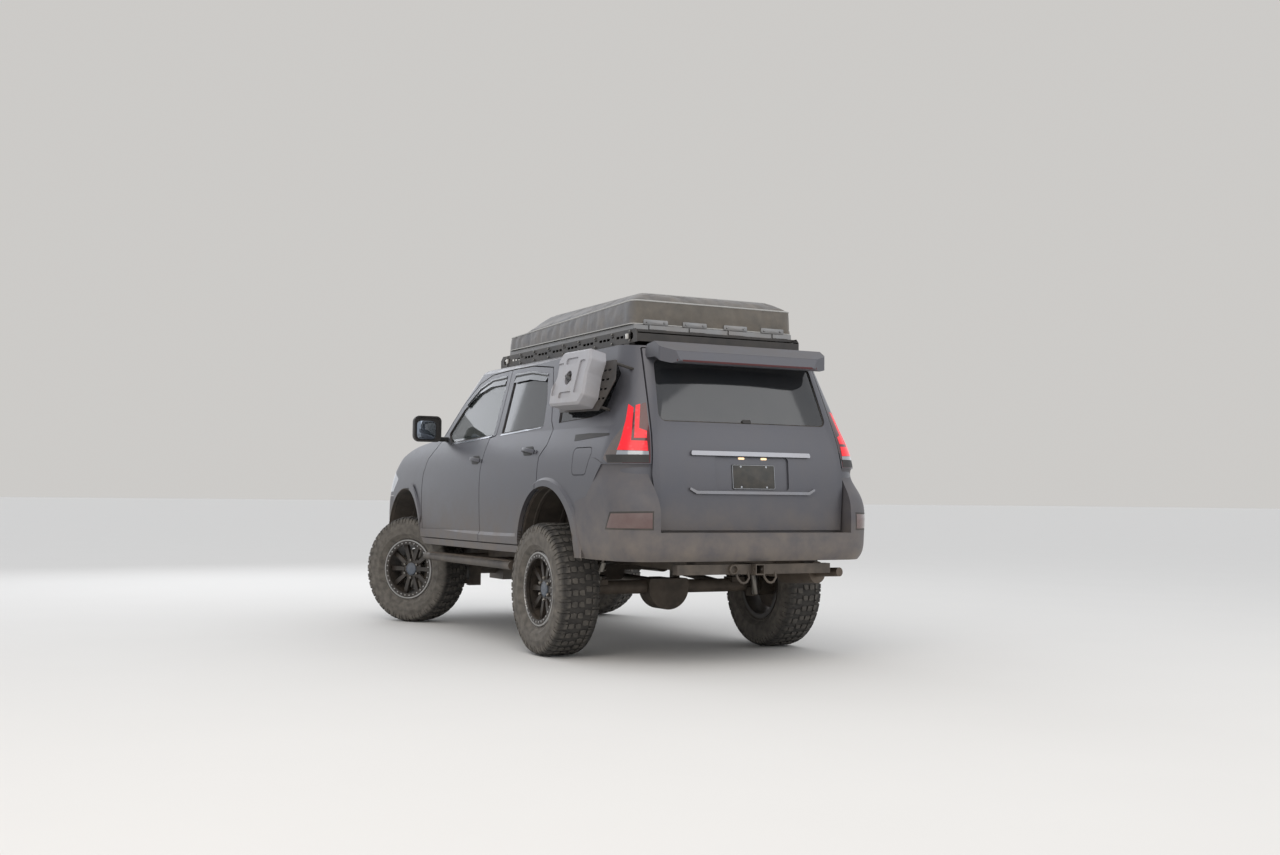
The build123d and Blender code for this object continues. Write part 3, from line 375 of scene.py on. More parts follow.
cast_aluminium, coat = new_material("cast_aluminium", 0.55, 0.6)
dusty(coat, mottled(coat, "#5f5e5c", "#7a7977", 40), road_dust, 0.3, 0.9, 0.5, 0.2)
grain(coat, 2.5, 0.5, 0.8)
finish(cast_aluminium, "engine_block", "driveline")

# Exhaust: bent aluminised steel tube with a silencer, browned by heat and dulled by road dirt.
aluminised_steel, coat = new_material("heat_stained_aluminised_steel", 0.48, 0.7)
dusty(coat, mottled(coat, "#3c332c", "#6a625a", 60), road_dust, 0.3, 0.8, 0.45, 0.25)
grain(coat, 4, 0.2, 0.4)
finish(aluminised_steel, "exhaust")

# Fuel tank: blow-moulded black polyethylene with a leathery moulded grain.
tank_plastic, coat = new_material("blow_moulded_polyethylene", 0.6, 0.0, 1.52)
dusty(coat, "#1a1a1a", road_dust, 0.3, 0.8, 0.5, 0.3)
grain(coat, 1.5, 0.3, 0.4)
finish(tank_plastic, "fuel_tank")


# Painted body: steel pressings in satin grey paint with a fine metallic flake. The paint is
# cleanest on the doors, and tan dust climbs from the sills, the arches and the tail. Inside,
# the same pressings carry woven roof lining, moulded door cards, carpet and underseal.
def in_mm(spot):
    """A CAD point in millimetres from the rear axle's middle, at ground level."""
    return spot.x * 1000 + axle_to_middle, spot.y * 1000, spot.z * 1000


def part_finish(name, material, wanted):
    """Gives the faces of a CAD node that answer to wanted(x, y, z, normal) another material."""
    mesh = nodes[name].data
    mesh.materials.append(material)
    index = len(mesh.materials) - 1
    for face in mesh.polygons:
        if wanted(*in_mm(face.center), face.normal):
            face.material_index = index


def faces_cabin(x, y, z, normal):
    """True where a face looks at the cabin's middle line."""
    rear_x, front_x, middle_z = -700, 1900, 1250
    middle = Vector((min(front_x, max(rear_x, x)), 0, middle_z))
    return (middle - Vector((x, y, z))).normalized().dot(normal) > 0.55


def tinted(coat, dark, light, size_mm):
    """Gives a whole surface a mottled colour."""
    tree, shader, _ = coat
    tree.links.new(mottled(coat, dark, light, size_mm), shader.inputs["Base Color"])


tan_dust = "#85796c"
# Satin two-coat paint: soft, broad highlights with a faint sparkle. The flake is drawn far
# coarser than the real one, so that it shows.
satin_paint, coat = new_material("satin_grey_body_paint", 0.4, 0.35, values={
    "Coat Weight": 0.25, "Coat Roughness": 0.3,
})
tree, shader, place = coat
flake = add(tree, "ShaderNodeTexNoise", {"Vector": place, "Scale": per_metre(1.6), "Detail": 2.0})
flecked = add(tree, "ShaderNodeMix", {
    "Factor": flake.outputs["Fac"], "A": linear("#46474d"), "B": linear("#56575e"),
}, data_type="RGBA")
share = dusty(coat, flecked.outputs["Result"], tan_dust, 0.62, 1.1, 0.5, 0.06)
dulled = add(tree, "ShaderNodeMapRange", {
    "Value": share, "From Min": 0.0, "From Max": 0.5, "To Min": 0.36, "To Max": 0.75,
})
tree.links.new(dulled.outputs["Result"], shader.inputs["Roughness"])
grain(coat, 2.2, 0.05, 0.1)
door_names = ["front_door_left", "front_door_right", "rear_door_left", "rear_door_right"]
door_frames = [name.replace("door", "door_frame") for name in door_names]
shell = ["body_shell", "roof_panel", "floor_pan", "front_wings", "bonnet", "tailgate", "fuel_flap", "spoiler"]
finish(satin_paint, *shell, *door_names, *door_frames)
waist_z, bulkhead_x = 1300, 2300


def above_waist(x, y, z, normal):
    """True on the cabin's side of the pillars and roof frame."""
    return z > waist_z and x < bulkhead_x and faces_cabin(x, y, z, normal)


def below_waist(x, y, z, normal):
    """True on the cabin's side of the sills, quarters and bulkhead."""
    return z <= waist_z and x < bulkhead_x and faces_cabin(x, y, z, normal)


# Woven lining: pale and matt, with a slight sheen. The weave is drawn coarser, so that it shows.
lining, coat = new_material("woven_roof_lining", 0.9, values={"Sheen Weight": 0.3})
tinted(coat, "#6b6862", "#7b7872", 2)
grain(coat, 1.2, 0.4, 0.4)
part_finish("body_shell", lining, above_waist)
part_finish("roof_panel", lining, lambda x, y, z, n: n.z < -0.5)
# Moulded trim: near black with a leathery grain.
trim_plastic, coat = new_material("dark_grained_trim", 0.65)
tinted(coat, "#232325", "#2b2b2d", 8)
grain(coat, 1.4, 0.5, 0.3)
part_finish("body_shell", trim_plastic, below_waist)
for name in door_names + door_frames:
    part_finish(name, trim_plastic, faces_cabin)
part_finish("tailgate", trim_plastic, lambda x, y, z, n: n.x > 0.35)
sill_y = 860
# Tufted carpet: dark and dull, with a soft, lumpy pile.
carpet, coat = new_material("tufted_carpet", 0.95, values={"Sheen Weight": 0.5})
tinted(coat, "#1b1a19", "#2c2a28", 3)
grain(coat, 2.5, 0.8, 1.5)
part_finish("floor_pan", carpet, lambda x, y, z, n: n.z > 0.5 and abs(y) < sill_y)
# Sprayed underseal: a rough, rubbery black skin.
underseal, coat = new_material("sprayed_underseal", 0.8)
dusty(coat, "#1b1a1a", road_dust, 0.5, 1.1, 0.45, 0.2)
grain(coat, 4, 0.7, 1.2)
part_finish("floor_pan", underseal, lambda x, y, z, n: n.z < -0.5 and abs(y) < sill_y)


def faces_engine(x, y, z, normal):
    """True where a face looks at the middle of the engine bay."""
    return normal.dot(Vector((2900 - x, -y, 900 - z)).normalized()) > 0.5


for name in ("front_wings", "bonnet"):
    part_finish(name, underseal, faces_engine)
bay_rear, bay_top, bay_side = 2330, 1350, 850
part_finish("body_shell", underseal, lambda x, y, z, n: x > bay_rear and z < bay_top and abs(y) < bay_side)


# Wheel arch liners: thin moulded polypropylene shells with stiffening ribs, black, with road
# dust caked into their tops. The wheel housings behind them carry the same finish.
def arch_liner(middle_x, middle_z, radius, start_deg, end_deg, inner, outer):
    """A ribbed arch of thin sheet from the inner wing to just inside the arch lip."""
    rib_every, steps = 190, 40
    rows = []
    y = inner
    while y < outer:
        # A flat, and a rib that stands 5 mm toward the wheel
        rows += [(y, 0), (y + 14, 0), (y + 18, -5), (y + 40, -5), (y + 44, 0)]
        y += rib_every
    rows = [row for row in rows if row[0] < outer - 20] + [(outer - 12, 0), (outer, -3), (outer, 4)]
    points = []
    for k in range(steps + 1):
        angle = math.radians(start_deg + (end_deg - start_deg) * k / steps)
        for y, rise in rows:
            r = radius + rise
            points.append((middle_x + r * math.sin(angle), y, middle_z + r * math.cos(angle)))
    return points, ring_faces(steps + 1, len(rows), open_sides=True)


liner_plastic, coat = new_material("moulded_arch_liner", 0.75)
dusty(coat, "#191918", "#6e6358", 0.6, 1.1, 0.55, 0.4)
grain(coat, 3, 0.5, 0.8)
rear_arch_x, rear_arch_z = -50, 660
housing_radius, housing_inner, housing_outer, housing_low = 424, 560, 922, 560


def in_rear_arch(x, y, z, normal):
    """True inside the rear wheel housings."""
    from_middle = math.hypot(x - rear_arch_x, z - rear_arch_z)
    return from_middle < housing_radius and housing_inner < abs(y) < housing_outer and z > housing_low


for name in ("body_shell", "rear_door_left", "rear_door_right", "floor_pan"):
    part_finish(name, liner_plastic, in_rear_arch)
rear_liner = arch_liner(rear_arch_x, rear_arch_z, 415, -92, 86, 608, 898)
front_liner = arch_liner(2830, 648, 421, -74, 74, 470, 898)
arch_liners = joined(rear_liner, mirrored(rear_liner), front_liner, mirrored(front_liner))
piece("arch_liners", arch_liners, liner_plastic, "chassis", "black_plastic")


# Bumpers: moulded thermoplastic covers in the body's colour, duller than the steel and
# dustier, because they sit behind and below the wheels.
bumper_paint, coat = new_material("painted_bumper_plastic", 0.55)
dusty(coat, "#4a4a50", tan_dust, 0.56, 1.1, 0.55, 0.15)
grain(coat, 1.8, 0.08, 0.15)
finish(bumper_paint, "front_bumper", "rear_bumper")
part_finish("rear_bumper", liner_plastic, in_rear_arch)


# Windows: toughened glass. The windscreen and front panes are lightly tinted, the rest is
# privacy glass, almost black from outside. Each pane's edge sits in an extruded rubber seal.
def edge_loops(node, outside):
    """The outlines of a pane's outer face, each as a ring of points in millimetres."""
    mesh = nodes[node].data
    places, uses = {}, {}

    def corner(index):
        spot = mesh.vertices[index].co
        key = (round(spot.x, 4), round(spot.y, 4), round(spot.z, 4))
        places[key] = Vector(in_mm(spot))
        return key

    for face in mesh.polygons:
        if face.normal.dot(outside) > 0.5:
            for a, b in face.edge_keys:
                pair = frozenset((corner(a), corner(b)))
                if len(pair) == 2:
                    uses[pair] = uses.get(pair, 0) + 1
    beside = {}
    for pair, count in uses.items():
        if count == 1:
            a, b = pair
            beside.setdefault(a, []).append(b)
            beside.setdefault(b, []).append(a)
    loops, left = [], set(beside)
    while left:
        here = min(left)
        left.discard(here)
        loop = [here]
        while options := [other for other in beside[here] if other in left]:
            here = options[0]
            left.discard(here)
            loop.append(here)
        loops.append([places[key] for key in loop])
    return loops


pale_dust = "#8b8072"
# Toughened glass: dark and glossy.
toughened = (
    # name, tint, roughness, share of light stopped, panes
    ("green_tinted_toughened_glass", "#39403f", 0.03, 0.55,
     ("windscreen", "front_door_glass_left", "front_door_glass_right")),
    ("privacy_toughened_glass", "#1f2226", 0.05, 0.9,
     ("rear_door_glass_left", "rear_door_glass_right", "quarter_windows", "tailgate_window")),
)
for name, tint, roughness, stopped, panes in toughened:
    glass, coat = new_material(name, roughness, 0.0, 1.52, {"Alpha": stopped, "Specular IOR Level": 0.8})
    dusty(coat, tint, pale_dust, 1.2, 1.6, 0.1, 0.03)
    finish(glass, *panes)
# Extruded rubber: matt black, a little dusty.
seal_rubber, coat = new_material("black_extruded_rubber_seal", 0.7)
dusty(coat, "#151516", road_dust, 0.9, 1.8, 0.3, 0.12)
grain(coat, 1, 0.2, 0.1)
to_left, to_right = (0, 1, 0), (0, -1, 0)
seals = (
    # pane, way that its outer face looks, body
    ("windscreen", (1, 0, 0.6), "chassis"), ("tailgate_window", (-1, 0, 0.4), "tailgate"),
    ("quarter_windows", to_left, "chassis"), ("quarter_windows", to_right, "chassis"),
    ("front_door_glass_left", to_left, "front_door_left"),
    ("front_door_glass_right", to_right, "front_door_right"),
    ("rear_door_glass_left", to_left, "rear_door_left"),
    ("rear_door_glass_right", to_right, "rear_door_right"),
)
seal_section = [(-6, -1), (-6, 1.5), (-3, 3), (3, 3), (6, 1.5), (6, -1)]
fewest_corners = 6
for number, (pane, outside, body) in enumerate(seals):
    outside = Vector(outside).normalized()
    for loop in edge_loops(pane, outside):
        if len(loop) >= fewest_corners:
            bead = swept(loop, seal_section, [outside] * len(loop), True)
            piece(f"window_seal_{number}", bead, seal_rubber, body, "black_plastic")


# Lamps: clear and red acrylic mouldings. Behind the rear lens two L shaped light guides glow red; the
# headlamps' clear lenses carry a painted reflection of their bright bowls, and fog lamps sit in the bumper.
def surface(*names):
    """The shapes of CAD nodes as one searchable surface, in millimetres."""
    points, faces = [], []
    for name in names:
        start = len(points)
        mesh = nodes[name].data
        points += [Vector(in_mm(vertex.co)) for vertex in mesh.vertices]
        faces += [[start + i for i in face.vertices] for face in mesh.polygons]
    return BVHTree.FromPolygons(points, faces)


sights = {
    # view: where its rays start, the way that its first coordinate runs, the way that it looks
    "side": ((0, 1500), (1, 0), (0, -1, 0)),
    "rear": ((-2000, 0), (0, 1), (1, 0, 0)),
    "corner": ((-1144, 1218), (-0.789, -0.615), (0.615, -0.789, 0)),
}


def laid(onto, view, edge_a, edge_b, lifts=(2, 2), thick=3, across=4, along=8):
    """A strip between two lines, laid on a surface as seen from the side, the rear or the rear
    corner. Points are (x, z) from the side, (y, z) from the rear, (way along, z) at the corner."""
    far, run, way = sights[view]
    way = Vector(way).normalized()
    rows = []
    for i in range(len(edge_a) - 1):
        last = i == len(edge_a) - 2
        for k in range(along + (1 if last else 0)):
            share = k / along
            a = Vector(edge_a[i]).lerp(Vector(edge_a[i + 1]), share)
            b = Vector(edge_b[i]).lerp(Vector(edge_b[i + 1]), share)
            rows.append([a.lerp(b, m / across) for m in range(across + 1)])
    top, under = [], []
    last_hit = None
    for row in rows:
        for m, (p, q) in enumerate(row):
            start = Vector((far[0] + run[0] * p, far[1] + run[1] * p, q))
            hit, normal, _, _ = onto.ray_cast(start, way)
            if hit is None:
                hit, normal = last_hit or (start + way * 600, -way)
            if normal.dot(way) > 0:
                normal = -normal
            last_hit = (hit, normal)
            lift = lifts[0] + (lifts[1] - lifts[0]) * m / across
            top.append(hit + normal * lift)
            under.append(hit + normal * (lift - thick))
    count, width = len(rows), across + 1
    half = count * width
    skins = ring_faces(count, width, open_sides=True)
    skins += [[half + i for i in reversed(face)] for face in skins]
    edges = [(i * width + m, (i + 1) * width + m) for i in range(count - 1) for m in (0, across)]
    edges += [(i * width + m, i * width + m + 1) for i in (0, count - 1) for m in range(across)]
    return top + under, skins + [[a, b, half + b, half + a] for a, b in edges]


def both_sides(name, shape, material, bodies, slot_name):
    """A piece on the left and its mirror image on the right."""
    piece(name + "_left", shape, material, bodies[0], slot_name)
    piece(name + "_right", mirrored(shape), material, bodies[1], slot_name)


on_chassis = ("chassis", "chassis")
# Red acrylic: dark red when unlit, glossy, with the fine ribs of its optics.
red_lens, coat = new_material("red_acrylic_lens", 0.1, 0.0, 1.49, {"Coat Weight": 0.25})
tree, shader, place = coat
stripes = add(tree, "ShaderNodeTexWave", {
    "Vector": place, "Scale": per_metre(20), "Distortion": 0.0,
}, bands_direction="Z")
shade = add(tree, "ShaderNodeMix", {
    "Factor": stripes.outputs["Fac"], "A": linear("#3a0d10"), "B": linear("#561418"),
}, data_type="RGBA")
tree.links.new(shade.outputs["Result"], shader.inputs["Base Color"])
finish(red_lens, "tail_lamps")
# Smoked acrylic: the lamp's outer flank, grey brown over its bowl.
smoke_lens, coat = new_material("smoked_clear_acrylic", 0.12, 0.0, 1.49, {"Coat Weight": 0.6})
tinted(coat, "#4b4340", "#5d5450", 30)
grain(coat, 6, 0.15, 0.3)
part_finish("tail_lamps", smoke_lens, lambda x, y, z, n: abs(n.y) > 0.75)
# Lit light guide: red all over, paler round each diode.
lit_guide, coat = new_material("lit_red_light_guide", 0.2, 0.0, 1.49, {"Emission Strength": 0.75})
tree, shader, place = coat
diodes = add(tree, "ShaderNodeTexVoronoi", {"Vector": place, "Scale": per_metre(34)})
glow = add(tree, "ShaderNodeMapRange", {
    "Value": diodes.outputs["Distance"], "From Min": 0.05, "From Max": 0.35, "To Min": 0.6, "To Max": 0.0,
})
hot = add(tree, "ShaderNodeMix", {
    "Factor": glow.outputs["Result"], "A": linear("#f40a20"), "B": linear("#ff4c55"),
}, data_type="RGBA")
tree.links.new(hot.outputs["Result"], shader.inputs["Emission Color"])
tinted(coat, "#8a0a14", "#a8101c", 20)
# Smoky red reflector round the corner, over its black frame.
reflector_lens, coat = new_material("smoky_red_reflector", 0.16, 0.0, 1.49, {"Coat Weight": 0.6})
tinted(coat, "#4e2c2c", "#756661", 110)
grain(coat, 5, 0.2, 0.3)
# Clear polycarbonate: glossy, its pale grey a painted reflection of the bright bowls behind it.
lamp_glass, coat = new_material("clear_polycarbonate_lens", 0.15, 0.3, values={"Coat Weight": 0.9})
tinted(coat, "#7f8388", "#9a9ea3", 60)
finish(lamp_glass, "headlamps")
lamp_face = surface("tail_lamps", "rear_bumper", "tailgate", "body_shell")
rear_strips = (
    # name, material, slot, view, one edge, the other edge, lift, thickness, parts across and along
    ("tail_light_guide", lit_guide, "lamp_red", "rear", [(735, 1568), (768, 1466), (838, 1290), (693, 1285)],
     [(718, 1545), (740, 1466), (772, 1346), (691, 1344)], 1.2, 2, 4, 8),
    ("inner_light_guide", lit_guide, "lamp_red", "rear", [(706, 1560), (755, 1362), (690, 1362)],
     [(683, 1568), (719, 1420), (682, 1404)], 1.0, 2, 4, 8),
    ("corner_reflector", reflector_lens, "lamp_red", "corner", [(-6, 832), (292, 832)],
     [(34, 916), (292, 922)], 1.5, 3, 4, 16),
    ("reversing_lamp", lamp_glass, "lamp_clear", "rear", [(690, 1262), (845, 1262)],
     [(690, 1283), (838, 1286)], 1.5, 2.5, 4, 8),
)
for name, material, slot_name, view, edge_a, edge_b, lift, thick, across, along in rear_strips:
    strip = laid(lamp_face, view, edge_a, edge_b, (lift, lift), thick, across, along)
    both_sides(name, strip, material, on_chassis, slot_name)
brake_low, brake_high = ([(-500, z), (500, z)] for z in (1824, 1834))
glass_top = surface("spoiler", "tailgate", "tailgate_window")
high_lamp = laid(glass_top, "rear", brake_low, brake_high, (1.5, 1.5), 3, 2, 24)
piece("high_brake_lamp", high_lamp, red_lens, "tailgate", "lamp_red")
# Chromed ABS: a mirror-bright skin, very slightly wavy.
bright_chrome, coat = new_material("chromed_abs", 0.12, 1.0)
tinted(coat, "#b9bcc0", "#c9cccf", 200)
grain(coat, 30, 0.03, 0.1)
# The bumper's face is felt for a little above the lamp.
fog_y, fog_z, felt_z, sunk = 620, 690, 770, 14
fog_hit, fog_out, _, _ = surface("front_bumper").ray_cast(Vector((4500, fog_y, felt_z)), Vector((-1, 0, 0)))
fog_ring = lathe([(40, -26), (56, -8), (60, 1), (57, 3), (52, 1), (36, -26)], 32, True)
fog_bowl = lathe([(37, -24), (34, -34), (20, -40), (18, -30), (12, -28), (3, -26)], 32)
fog = placed(joined(fog_ring, fog_bowl), (fog_hit.x - sunk, fog_y, fog_z), (fog_out.x, fog_out.y, 0))
piece("fog_lamps", joined(fog, mirrored(fog)), bright_chrome, "chassis", "chrome_trim")

# Grille and bright bars: chromed mouldings in front, and a dark chromed bar over and under
# the number plate recess. The mesh behind the grille and the intake is black plastic.
dark_chrome, coat = new_material("dark_chromed_abs", 0.22, 0.9)
dusty(coat, "#8f9095", road_dust, 0.9, 1.4, 0.22, 0.1)
grain(coat, 20, 0.04, 0.1)
finish(dark_chrome, "tailgate_bars", "grille")
# Moulded polypropylene: black, half matt, with a fine spark grain.
black_plastic, coat = new_material("grained_black_polypropylene", 0.55)
dusty(coat, "#1b1c1e", road_dust, 0.5, 1.3, 0.35, 0.08)
grain(coat, 1.2, 0.3, 0.25)
slat_section = [(-1.5, -1.5), (1.5, -1.5), (1.5, 1.5), (-1.5, 1.5)]
wire = round_section(3, 6)
grille_y, grille_step, intake_y, intake_step = 400, 50, 320, 32
slats = [swept([(3268, y, 775), (3290, y, 960), (3262, y, 1180)], slat_section)
         for y in range(-grille_y, grille_y + 1, grille_step)]
intake = [swept([(3372, y, 612), (3372, y, 704)], wire) for y in range(-intake_y, intake_y + 1, intake_step)]
intake += [swept([(3374, -322, z), (3374, 322, z)], wire) for z in (635, 658, 681)]
piece("grille_mesh", joined(*slats, *intake), black_plastic, "chassis", "black_plastic")
# Black strips on the rear quarter and across the tail, and a frame round each reflector.
black_strips = joined(
    laid(surface("body_shell", "fuel_flap"), "side", [(-789, 1380), (-566, 1367), (-372, 1356)],
         [(-782, 1393), (-539, 1401), (-356, 1397)], (1.6, 1.6), 3),
    laid(lamp_face, "rear", [(676, 1215), (891, 1215)], [(676, 1262), (891, 1262)], (1.6, 1.6), 3, 3, 14),
)
both_sides("side_insert", black_strips, black_plastic, on_chassis, "black_plastic")
frame_low, frame_high = [(-22, 822), (298, 822)], [(24, 926), (298, 932)]
corner_frame = laid(lamp_face, "corner", frame_low, frame_high, (0.8, 0.8), 3, 4, 16)
both_sides("reflector_frame", corner_frame, black_plastic, on_chassis, "black_plastic")

# Door furniture: lever handles over dished cups, bright mouldings along the window sills,
# smoked acrylic wind deflectors taped over the side windows, and moulded mirror housings.
door_face = surface("body_shell", *[
    f"{end}_door{part}_left" for part in ("", "_frame", "_glass") for end in ("front", "rear")
])


def skin(x, z, lift=0):
    """The point of the left side's outer skin at x and z, and its outward normal."""
    hit, normal, _, _ = door_face.ray_cast(Vector((x, 1500, z)), Vector((0, -1, 0)))
    return hit + normal * lift, normal


# Smoked acrylic: nearly black, glossy, with some light through it.
deflector, coat = new_material("smoked_acrylic_deflector", 0.1, 0.0, 1.49, {"Alpha": 0.8})
tinted(coat, "#1d1f22", "#26282b", 300)
grain(coat, 300, 0.03, 0.3)
# Anodised aluminium: bright, with soft reflections.
sill_trim, coat = new_material("bright_anodised_moulding", 0.25, 1.0)
tinted(coat, "#9a9ca0", "#aeb0b3", 120)
grain(coat, 8, 0.05, 0.05)
doors = (
    # name, handle's front and rear end (x, z), deflector's lower and upper line, sill moulding
    ("front_door", (1290, 1277), (1100, 1262), [(1690, 1668), (1480, 1762), (1262, 1800), (1000, 1800)],
     [(1705, 1702), (1492, 1812), (1272, 1862), (1000, 1868)], [(1880, 1398), (1440, 1406), (1000, 1428)]),
    ("rear_door", (365, 1318), (165, 1302), [(838, 1800), (560, 1806), (302, 1776)],
     [(842, 1868), (560, 1868), (285, 1830)], [(838, 1430), (500, 1444), (175, 1460)]),
)
handle_section, grip_parts, foot_lift, grip_lift = rounded(26, 13, 5.5, 3), 12, 3, 30
for name, front_end, rear_end, low, high, sill in doors:
    bodies = (name + "_left", name + "_right")
    visor = laid(door_face, "side", low, high, (15, 2), 2.5, 5, 8)
    both_sides(name + "_deflector", visor, deflector, bodies, "tinted_glass")
    sill_top = [(x, z + 11) for x, z in sill]
    moulding = laid(door_face, "side", sill, sill_top, (3, 3), 4, 2, 10)
    both_sides(name + "_moulding", moulding, sill_trim, bodies, "chrome_trim")
    grip = []
    for k in range(grip_parts + 1):
        share = k / grip_parts
        x, z = (rear + (front - rear) * share for front, rear in zip(front_end, rear_end))
        arch = math.sin(math.pi * min(1, max(0, share * 1.15 - 0.05))) ** 0.6
        grip.append(skin(x, z, foot_lift + grip_lift * arch)[0])
    handle = swept(grip, handle_section, [skin(*rear_end)[1]] * len(grip))
    lock_place, normal = skin(rear_end[0] - 26, rear_end[1] - 1, 2)
    lock = placed(lathe([(13, -2), (13, 3), (11, 5), (4, 5), (4, 3)], 20), lock_place, normal)
    both_sides(name + "_handle", joined(handle, lock), satin_paint, bodies, "body_paint")
    middle = [(front + rear) / 2 for front, rear in zip(front_end, rear_end)]
    cup = placed(prism(rounded(150, 62, 30, 6), -2, 1.2, 1), *skin(*middle, 0.6))
    both_sides(name + "_cup", cup, black_plastic, bodies, "black_plastic")
finish(black_plastic, "mirror_left", "mirror_right")
# Silvered glass: a plain mirror.
mirror_glass, coat = new_material("silvered_mirror_glass", 0.03, 1.0)
tinted(coat, "#7f8791", "#8b929b", 200)
grain(coat, 200, 0.01, 0.1)
pane = placed(prism(rounded(150, 140, 34, 6), -1, 2.5, 1.5), (1926.5, 1037, 1508), (-1, 0, 0))
both_sides("mirror_pane", pane, mirror_glass, ("front_door_left", "front_door_right"), "chrome_trim")


# Number plate: a blank black painted aluminium plate in a bright frame, screwed into the
# tailgate's recess under two small warm lamps. The rear washer's nub is on the glass above.
def from_behind(face, y, z):
    """The point of a rear face at y and z, and its normal to the rear."""
    hit, normal, _, _ = face.ray_cast(Vector((-2000, y, z)), Vector((1, 0, 0)))
    return hit, normal if normal.x < 0 else -normal


plate_metal, coat = new_material("painted_plate_aluminium", 0.45, 0.2)
dusty(coat, "#262a2a", road_dust, 0.9, 1.4, 0.2, 0.15, 60)
grain(coat, 3, 0.1, 0.1)
tail_face = surface("tailgate", "tailgate_bars")
plate_spot, plate_out = from_behind(tail_face, -10, 1140)
plate_width, plate_height, rim_inset = 305, 152, 8
plate = placed(prism(rounded(plate_width, plate_height, 12), 2, 4, 1), plate_spot, plate_out)
rim_path = [(*p, 4) for p in rounded(plate_width - rim_inset, plate_height - rim_inset, 10)]
border = swept(rim_path, round_section(2.2, 8), [upright] * len(rim_path), True)
border = placed(border, plate_spot, plate_out)
screw_head = lathe([(7, 3), (7, 6), (5, 7.5), (1, 7.5)], 14)
heads = []
for x in (-90, 90):
    for z in (-62, 62):
        head = [p + Vector((x, z, 0)) for p in screw_head[0]]
        heads.append(placed((head, screw_head[1]), plate_spot, plate_out))
piece("number_plate", plate, plate_metal, "tailgate", "chrome_trim")
piece("plate_border", joined(border, *heads), sill_trim, "tailgate", "chrome_trim")
# Lit lens: a warm glow, paler in patches.
warm_lamp, coat = new_material("warm_lit_plate_lamp", 0.3, 0.0, 1.49, {"Emission Strength": 1.0})
tree, shader, place = coat
spill = mottled(coat, "#ffcf9a", "#ffe0b8", 10)
tree.links.new(spill, shader.inputs["Base Color"])
tree.links.new(spill, shader.inputs["Emission Color"])
lamp_block = prism(rounded(42, 13, 5), 0.5, 4, 1.5)
lamps = [placed(lamp_block, *from_behind(tail_face, y, 1252)) for y in (-90, 70)]
piece("plate_lamps", joined(*lamps), warm_lamp, "tailgate", "lamp_clear")
nub_spot, nub_out = from_behind(surface("tailgate", "tailgate_window"), 0, 1476)
nub = placed(prism(rounded(64, 26, 11), -2, 12, 5), nub_spot, nub_out)
piece("washer_nub", nub, black_plastic, "tailgate", "black_plastic")


# Wheels: black powder coated cast alloy with a bolted ring, a thin machined lip, steel wheel
# nuts, a brake disc behind and a blue grey hub cap. All four wheels get the same shapes.
axle_height = 422.6


def wheel_frame(x, y, turn_deg):
    """A wheel's own frame: y outward along the axle, z up."""
    return Matrix.Translation(at(x, y, axle_height)) @ Matrix.Rotation(math.radians(turn_deg), 4, "Z")


wheel_frames = (
    # body, frame
    ("wheel_rear_left", wheel_frame(0, 828, 0)),
    ("wheel_rear_right", wheel_frame(0, -828, 180)),
    ("wheel_front_left", wheel_frame(2746.0, 815.4, 32)),
    ("wheel_front_right", wheel_frame(2834.0, -815.4, 212)),
)


def on_wheel(shape):
    """Turns a lathe shape about w into one about the wheel's y axis."""
    return [Vector((p[1], p[2], p[0])) for p in shape[0]], shape[1]


def around(shape, count, start_deg=0):
    """A shape repeated round the wheel's axle."""
    copies = []
    for k in range(count):
        angle = math.radians(start_deg + 360 * k / count)
        turn = Matrix.Rotation(angle, 3, "Y")
        copies.append(([turn @ Vector(p) for p in shape[0]], shape[1]))
    return joined(*copies)


def on_all_wheels(name, shape, material, slot_name, cad=None):
    """Sets the same piece on each of the four wheels."""
    for body, place_here in wheel_frames:
        made = piece(name + body[5:], shape, material, body, slot_name, 35, place_here)
        if cad:
            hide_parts(cad + body[5:])


def stud(radius, height, at_radius, base, sides=12):
    """A bolt head standing on a wheel's face at a radius."""
    profile = [(radius, 0), (radius, height * 0.7), (radius * 0.7, height), (radius * 0.35, height)]
    head = lathe(profile, sides)
    return [Vector((p[0], base + p[2], at_radius + p[1])) for p in head[0]], head[1]


# Powder coated alloy: soft black with a fine skin and thin dust.
wheel_coat, coat = new_material("black_powder_coated_alloy", 0.42)
dusty(coat, "#171718", road_dust, -0.3, 0.9, 0.2, 0.2, 60)
grain(coat, 1.5, 0.15, 0.2)
finish(wheel_coat, *["rim" + body[5:] for body, _ in wheel_frames])
# Machined aluminium: a bright edge, dulled by dust. Its turning marks are too fine to show.
machined, coat = new_material("machined_aluminium_lip", 0.32, 1.0)
dusty(coat, "#a9a9a8", road_dust, -0.3, 0.9, 0.3, 0.3, 60)
grain(coat, 1.2, 0.1, 0.05)
# Turned profiles are (radius, way out along the axle).
lip = lathe([(223, 108), (226, 114.5), (236, 114.5), (241, 109), (238, 101)], 72, True)
bolts = around(stud(6.6, 6.5, 211, 112), 32, 5.6)
ring = on_wheel(lathe([(199, 104), (200.5, 113), (222, 113), (226, 109), (226, 104)], 72, True))
on_all_wheels("beadlock_ring", ring, wheel_coat, "rim_black")
on_all_wheels("rim_lip_and_bolts", joined(on_wheel(lip), bolts), machined, "rim_black")
nut_circle = 69.85
nuts = around(stud(13, 22, nut_circle, 60, 6), 6)
disc = on_wheel(lathe([(60, 8), (158, 8), (160, 6), (160, -16), (158, -18), (60, -18)], 48, True))
on_all_wheels("wheel_nuts", joined(nuts, disc), damper_steel, "cast_metal")
